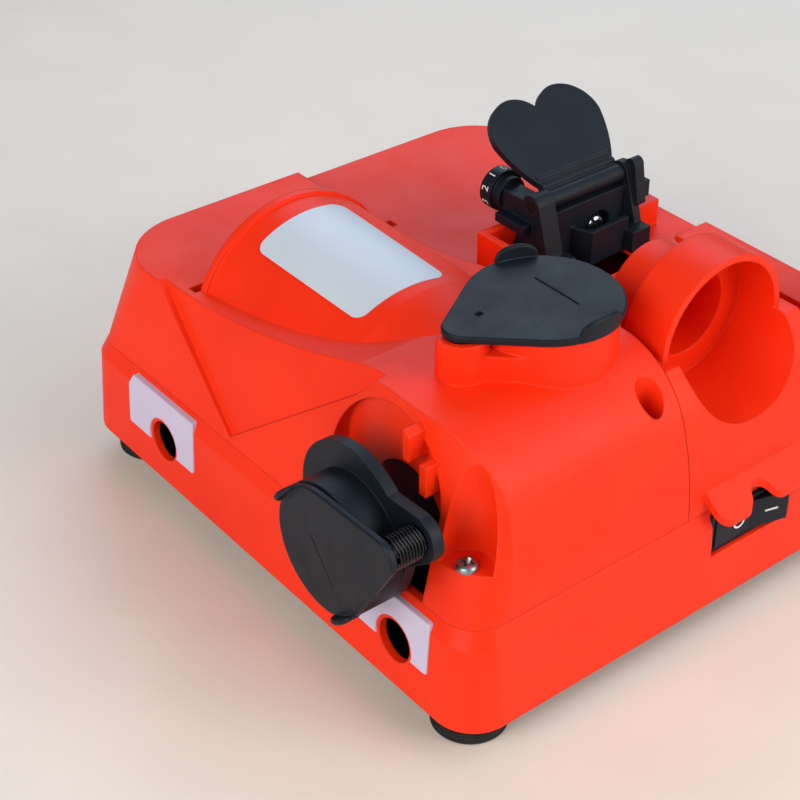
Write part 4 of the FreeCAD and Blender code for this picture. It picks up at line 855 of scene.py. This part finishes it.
class SHARPENER_OT_lids(Operator):
    """Lids of the two drill ports with their finger ears"""
    bl_idname = "sharpener.lids"
    bl_label = "Port lids"

    # A lid is drawn in its own plane, with height measured out of the port, and then put in place
    top_place = Matrix.Translation((0, 0, 0.1218))
    front_place = Matrix(((1, 0, 0, 0), (0, 0, -1, -0.1163), (0, 1, 0, 0), (0, 0, 0, 1)))
    # Discs as (across, up, radius): the pin's end, then the round that covers the port
    top_discs = ((0.061, -0.0605, 0.0068), (0.064, -0.0295, 0.0258))
    front_discs = ((0.0935, 0.0835, 0.0062), (0.0645, 0.0667, 0.0223))
    # Ears as (middle angle, half angle, rise)
    top_ears = ((160, 17, 0.0048), (3, 20, 0.0048))
    front_ears = ((140, 15, 0.004), (304, 15, 0.004))
    ear_stations = 28
    ear_fullness = 2.4
    crown_steps = 8
    # Slits between two points, and the pocket in the top lid
    top_slit = ((0.054, -0.0245), (0.074, -0.0245))
    front_slit = ((0.0598, 0.0708), (0.0707, 0.0567))
    slit_half = 0.0004
    slit_depth = 0.0005
    slit_steps = 6
    pocket_spot = (0.059, -0.0525)
    pocket_side = 0.0026
    pocket_taper = 0.8
    thick = 0.0026
    pin_hole = 0.00255
    pin_depth = 0.0016
    over = 0.001

    def plate(self, name, discs):
        """The flat lid with rounded edges and a blind hole for its pin."""
        soft = sizes().lid_edge
        loop = band_loop(*discs)
        rings = []
        for drawn, height in ((soft, 0), (0, soft), (0, self.thick - soft), (soft, self.thick)):
            rings.append([Vector((*point, height)) for point in inset(loop, drawn)])
        ends = [turned_ring(self.pin_hole, height) for height in (-self.over, self.pin_depth)]
        hole = stacked(name + "_hole", ends)
        hole.data.transform(Matrix.Translation((*discs[0][:2], 0)))
        return carved(stacked(name, rings), hole)

    def ear(self, name, disc, ear):
        """A blade along the rim that rises to a rounded crown."""
        x, y, radius = disc
        way, half, rise = ear
        thick = sizes().ear_thick
        root = self.over / 2
        rings = []
        for station in range(self.ear_stations + 1):
            share = -math.cos(math.pi * station / self.ear_stations)
            angle = math.radians(way + half * share)
            fall = max(0.0, 1 - abs(share) ** self.ear_fullness) ** (1 / self.ear_fullness)
            side = thick / 2 * (0.5 + 0.5 * fall)
            shoulder = self.thick + rise * fall - side
            section = [(-side, root)]
            for step in range(self.crown_steps + 1):
                turn = math.pi * (1 - step / self.crown_steps)
                section.append((side * math.cos(turn), shoulder + side * math.sin(turn)))
            section.append((side, root))
            ring = []
            for out, height in section:
                reach = radius - thick / 4 + out
                ring.append(Vector((x + reach * math.cos(angle), y + reach * math.sin(angle), height)))
            rings.append(ring)
        return stacked(name, rings)

    def slit(self, lid, ends):
        """A shallow slit with round ends in the outside of a lid."""
        loop = band_loop((*ends[0], self.slit_half), (*ends[1], self.slit_half), self.slit_steps)
        heights = (self.thick - self.slit_depth, self.thick + self.over)
        carved(lid, stacked("slit", [[Vector((*point, height)) for point in loop] for height in heights]))

    def pocket(self, lid):
        """The small square pocket over the spring's end."""
        hollow = wedge("pocket", self.pocket_side, self.pocket_side * self.pocket_taper, self.pocket_side,
                       self.thick + self.over, self.thick - self.over)
        hollow.data.transform(Matrix.Translation((*self.pocket_spot, 0)))
        carved(lid, hollow)

    def hang(self, lid, name, node, body, disc, ears, place):
        """Give a lid its ears, put it over its port and let it swing."""
        blades = [self.ear(f"{name}_ear{index}", disc, ear) for index, ear in enumerate(ears)]
        whole = joined(name, [lid, *blades])
        whole.data.transform(place)
        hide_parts(node)
        fit(whole, body, black_moulding(), 40)

    def execute(self, context):
        top = self.plate("top_plate", self.top_discs)
        self.slit(top, self.top_slit)
        self.pocket(top)
        self.hang(top, "top_port_lid", "top_lid", "top_lid_arm", self.top_discs[1], self.top_ears,
                  self.top_place)
        front = self.plate("front_plate", self.front_discs)
        self.slit(front, self.front_slit)
        self.hang(front, "front_port_lid", "front_lid", "front_lid_arm", self.front_discs[1], self.front_ears,
                  self.front_place)
        return {"FINISHED"}


class SHARPENER_OT_springs(Operator):
    """Wound springs behind the two lids"""
    bl_idname = "sharpener.springs"
    bl_label = "Lid springs"

    def wind(self, name, node, axis, mean, turn):
        """A spring along an axis, 1 for Y and 2 for Z, in the space of its node."""
        size = sizes()
        low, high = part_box(node)
        start = (low + high) / 2
        start[axis] = low[axis]
        spring = coil_piece(name, mean, size.wire, size.turns, (high - low)[axis])
        spring.data.transform(Matrix.Translation(start) @ turn)
        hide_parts(node)
        fit(spring, "housing", blackened_steel(), 60)

    def execute(self, context):
        size = sizes()
        low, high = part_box("top_lid_spring")
        top_mean = (high.x - low.x) / 2 - size.wire
        lying = Matrix.Rotation(-math.pi / 2, 4, "X")
        self.wind("front_lid_coil", "front_lid_spring", 1, size.coil, lying)
        self.wind("top_lid_coil", "top_lid_spring", 2, top_mean, Matrix.Identity(4))
        return {"FINISHED"}


class SHARPENER_OT_screws(Operator):
    """Cross-recess screws of the housing, base and feet"""
    bl_idname = "sharpener.screws"
    bl_label = "Screws"

    # Piece, CAD node, spots, height of the seats, reach beyond them, and whether the heads are underneath
    sets = (("housing_screw_set", "housing_screws", ((0.098, -0.0885), (0.0965, 0.0845), (0.097, -0.0135)),
             0.067, 0.0299, False),
            ("base_screw_set", "base_screws", ((-0.1, 0.038), (-0.1, -0.038)), 0.012, 0.0509, True),
            ("foot_screw_set", "foot_screws", FOOT_SPOTS, 0.006, 0.0219, True))
    head = 0.0036
    head_height = 0.0024
    shank = 0.002
    spin_step = 0.7

    def execute(self, context):
        pitch = sizes().thread_pitch
        for name, node, spots, seat, reach, underneath in self.sets:
            turn = Matrix.Rotation(math.pi, 4, "X") if underneath else Matrix.Identity(4)
            screws = []
            for index, (x, y) in enumerate(spots):
                screw = cross_screw(f"{name}{index}", self.head, self.head_height, self.shank, reach, pitch)
                spin = Matrix.Rotation(self.spin_step * index, 4, "Z")
                screw.data.transform(Matrix.Translation((x, y, seat)) @ turn @ spin)
                screws.append(screw)
            whole = joined(name, screws)
            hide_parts(node)
            fit(whole, "housing", screw_steel(), 40)
        return {"FINISHED"}


class SHARPENER_OT_clamp_screw(Operator):
    """Bright slotted screw in the chisel carriage"""
    bl_idname = "sharpener.clamp_screw"
    bl_label = "Clamp screw"

    seat_x = -0.0032
    shank = 0.0022
    slot_width = 0.0011
    slot_floor = 0.0019
    slot_turn = 0.6

    def execute(self, context):
        low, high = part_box("clamp_screw")
        middle = (low + high) / 2
        head = (high.z - low.z) / 2
        rings = screw_rings(head, high.x - self.seat_x, self.shank, self.seat_x - low.x, sizes().thread_pitch)
        screw = stacked("clamp_screw_bright", rings)
        slot_length = head * 3
        slot = wedge("clamp_screw_slot", slot_length, slot_length, self.slot_width, head, self.slot_floor)
        slot.data.transform(Matrix.Rotation(self.slot_turn, 4, "Z"))
        carved(screw, slot)
        place = Matrix.Translation((self.seat_x, middle.y, middle.z))
        screw.data.transform(place @ Matrix.Rotation(math.pi / 2, 4, "Y"))
        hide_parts("clamp_screw")
        fit(screw, "carriage", bright_plate(), 40)
        return {"FINISHED"}


class SHARPENER_OT_dial(Operator):
    """White figures round the feed dial"""
    bl_idname = "sharpener.dial"
    bl_label = "Dial figures"

    count = 9
    first_angle = 82
    step_angle = 40
    font_size = 0.00462
    curve_steps = 4
    inboard = 0.0034
    lift = 0.00008

    def figure(self, text):
        """One flat figure as a mesh, with its middle at the origin."""
        curve = bpy.data.curves.new("figure", "FONT")
        curve.body = text
        curve.size = self.font_size
        curve.align_x = "CENTER"
        curve.align_y = "CENTER"
        curve.resolution_u = self.curve_steps
        holder = placed("figure", curve)
        mesh = worked_out(holder)
        bpy.data.objects.remove(holder)
        return mesh

    def execute(self, context):
        low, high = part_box("feed_dial")
        middle = (low + high) / 2
        radius = (high.z - low.z) / 2 + self.lift
        middle_x = low.x + self.inboard
        meshes = []
        for index in range(self.count):
            mesh = self.figure(str(index))
            angle = math.radians(self.first_angle + self.step_angle * index)
            for vertex in mesh.vertices:
                turn = angle - vertex.co.x / radius
                vertex.co = Vector((middle_x - vertex.co.y, middle.y + radius * math.cos(turn),
                                    middle.z + radius * math.sin(turn)))
            meshes.append(mesh)
        fit(merged("dial_figures", meshes), "dial", white_ink())
        return {"FINISHED"}


class SHARPENER_OT_switch_marks(Operator):
    """White ring and bar on the rocker"""
    bl_idname = "sharpener.switch_marks"
    bl_label = "Switch marks"

    # The pressed half of the rocker stands upright, and the other half leans out to its high edge
    pivot_y = 0.025
    low_x = 0.1128
    high_x = 0.1168
    high_y = 0.0396
    lift = 0.0001
    ring_shift = 0.003
    ring_inside = 0.0021
    ring_outside = 0.0028
    ring_steps = 36
    bar_reach = 0.0085
    bar_half = 0.0026
    bar_side = 0.0004
    bar_corner = 0.0003
    bar_steps = 4

    def ring(self, middle_y, middle_z):
        """The ring that means off."""
        inside, outside = self.ring_inside, self.ring_outside
        rings = []
        for radius, out in ((inside, 0), (inside, self.lift), (outside, self.lift), (outside, 0)):
            ring = []
            for i in range(self.ring_steps):
                angle = 2 * math.pi * i / self.ring_steps
                ring.append(Vector((self.low_x + out, middle_y + radius * math.cos(angle),
                                    middle_z + radius * math.sin(angle))))
            rings.append(ring)
        return stacked("off_mark", rings, False)

    def bar(self, middle_z):
        """The bar that means on."""
        along = Vector((self.high_x - self.low_x, self.high_y - self.pivot_y, 0)).normalized()
        out = Vector((along.y, -along.x, 0))
        centre = Vector((self.low_x, self.pivot_y, middle_z)) + along * self.bar_reach
        half, side = self.bar_half, self.bar_side
        corners = ((half, -side), (half, side), (-half, side), (-half, -side))
        loop = rounded_loop([(*corner, self.bar_corner) for corner in corners], self.bar_steps)
        rings = []
        for lift in (-FILM_SUNK, self.lift):
            rings.append([centre + Vector((0, 0, point.y)) + along * point.x + out * lift for point in loop])
        return stacked("on_mark", rings)

    def execute(self, context):
        low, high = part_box("switch_rocker")
        middle_z = (low.z + high.z) / 2
        ring_y = (low.y + self.pivot_y) / 2 + self.ring_shift
        for mark in (self.ring(ring_y, middle_z), self.bar(middle_z)):
            fit(mark, "rocker", white_ink())
        return {"FINISHED"}


class SHARPENER_OT_stage(Operator):
    """Pale floor, soft studio light and the camera"""
    bl_idname = "sharpener.stage"
    bl_label = "Stage"

    floor_half = 4
    warm = (1, 0.93, 0.86)
    cool = (0.66, 0.81, 1)
    # Power setting, place, width and colour of each soft light
    lights = (("key", (0.45, -1.6, 0.95), 1.3, warm), ("fill", (1.55, 0.7, 0.8), 1.2, warm),
              ("top", (-1.3, 1.15, 1.35), 1.5, cool), ("high", (0.7, 1.0, 1.55), 1.2, cool))
    aim = Vector((0, 0, 0.06))
    sky_colour = (0.86, 0.9, 1, 1)
    sensor_width = 36
    nearest = 0.01

    def floor(self):
        half = self.floor_half
        corners = [(-half, -half, 0), (half, -half, 0), (half, half, 0), (-half, half, 0)]
        floor = mesh_piece("studio_floor", corners, [(0, 1, 2, 3)])
        floor.data.materials.append(floor_paint())

    def stand(self, name, data, place, heading):
        """A light or camera at a place, looking along a heading."""
        holder = placed(name, data)
        holder.location = place
        holder.rotation_euler = heading.to_track_quat("-Z", "Y").to_euler()
        return holder

    def soft_lights(self, setup):
        for name, spot, width, colour in self.lights:
            lamp = bpy.data.lights.new(name + "_light", "AREA")
            lamp.size = width
            lamp.color = colour
            lamp.energy = getattr(setup, name)
            self.stand(name + "_light", lamp, spot, self.aim - Vector(spot))

    def room(self, setup):
        world = bpy.data.worlds.new("studio")
        world.use_nodes = True
        sky = world.node_tree.nodes["Background"]
        sky.inputs["Color"].default_value = self.sky_colour
        sky.inputs["Strength"].default_value = setup.sky
        return world

    def camera(self, setup):
        camera = bpy.data.cameras.new("camera")
        camera.sensor_width = self.sensor_width
        camera.lens = setup.lens
        camera.clip_start = self.nearest
        return self.stand("camera", camera, setup.eye, -Vector(setup.back))

    def execute(self, context):
        scene = context.scene
        setup = scene.sharpener_stage
        self.floor()
        self.soft_lights(setup)
        scene.world = self.room(setup)
        scene.camera = self.camera(setup)
        scene.view_settings.view_transform = "Standard"
        return {"FINISHED"}


STEPS = (SHARPENER_OT_stage, SHARPENER_OT_shells, SHARPENER_OT_mouldings, SHARPENER_OT_drive,
         SHARPENER_OT_label, SHARPENER_OT_pads, SHARPENER_OT_feet, SHARPENER_OT_lids, SHARPENER_OT_springs,
         SHARPENER_OT_screws, SHARPENER_OT_clamp_screw, SHARPENER_OT_dial, SHARPENER_OT_switch_marks)


class SHARPENER_PT_panel(Panel):
    """Steps that finish the sharpener"""
    bl_idname = "SHARPENER_PT_panel"
    bl_label = "Sharpener"
    bl_space_type = "VIEW_3D"
    bl_region_type = "UI"
    bl_category = "Sharpener"

    def draw(self, context):
        for step in STEPS:
            self.layout.operator(step.bl_idname)


CLASSES = (SharpenerColours, SharpenerSizes, SharpenerStage, *STEPS, SHARPENER_PT_panel)


def register():
    for item in CLASSES:
        bpy.utils.register_class(item)
    bpy.types.Scene.sharpener_colours = PointerProperty(type=SharpenerColours)
    bpy.types.Scene.sharpener_sizes = PointerProperty(type=SharpenerSizes)
    bpy.types.Scene.sharpener_stage = PointerProperty(type=SharpenerStage)


def unregister():
    del bpy.types.Scene.sharpener_stage
    del bpy.types.Scene.sharpener_sizes
    del bpy.types.Scene.sharpener_colours
    for item in reversed(CLASSES):
        bpy.utils.unregister_class(item)


def main():
    register()
    for step in STEPS:
        group, action = step.bl_idname.split(".")
        getattr(getattr(bpy.ops, group), action)()


if __name__ == "__main__":
    main()
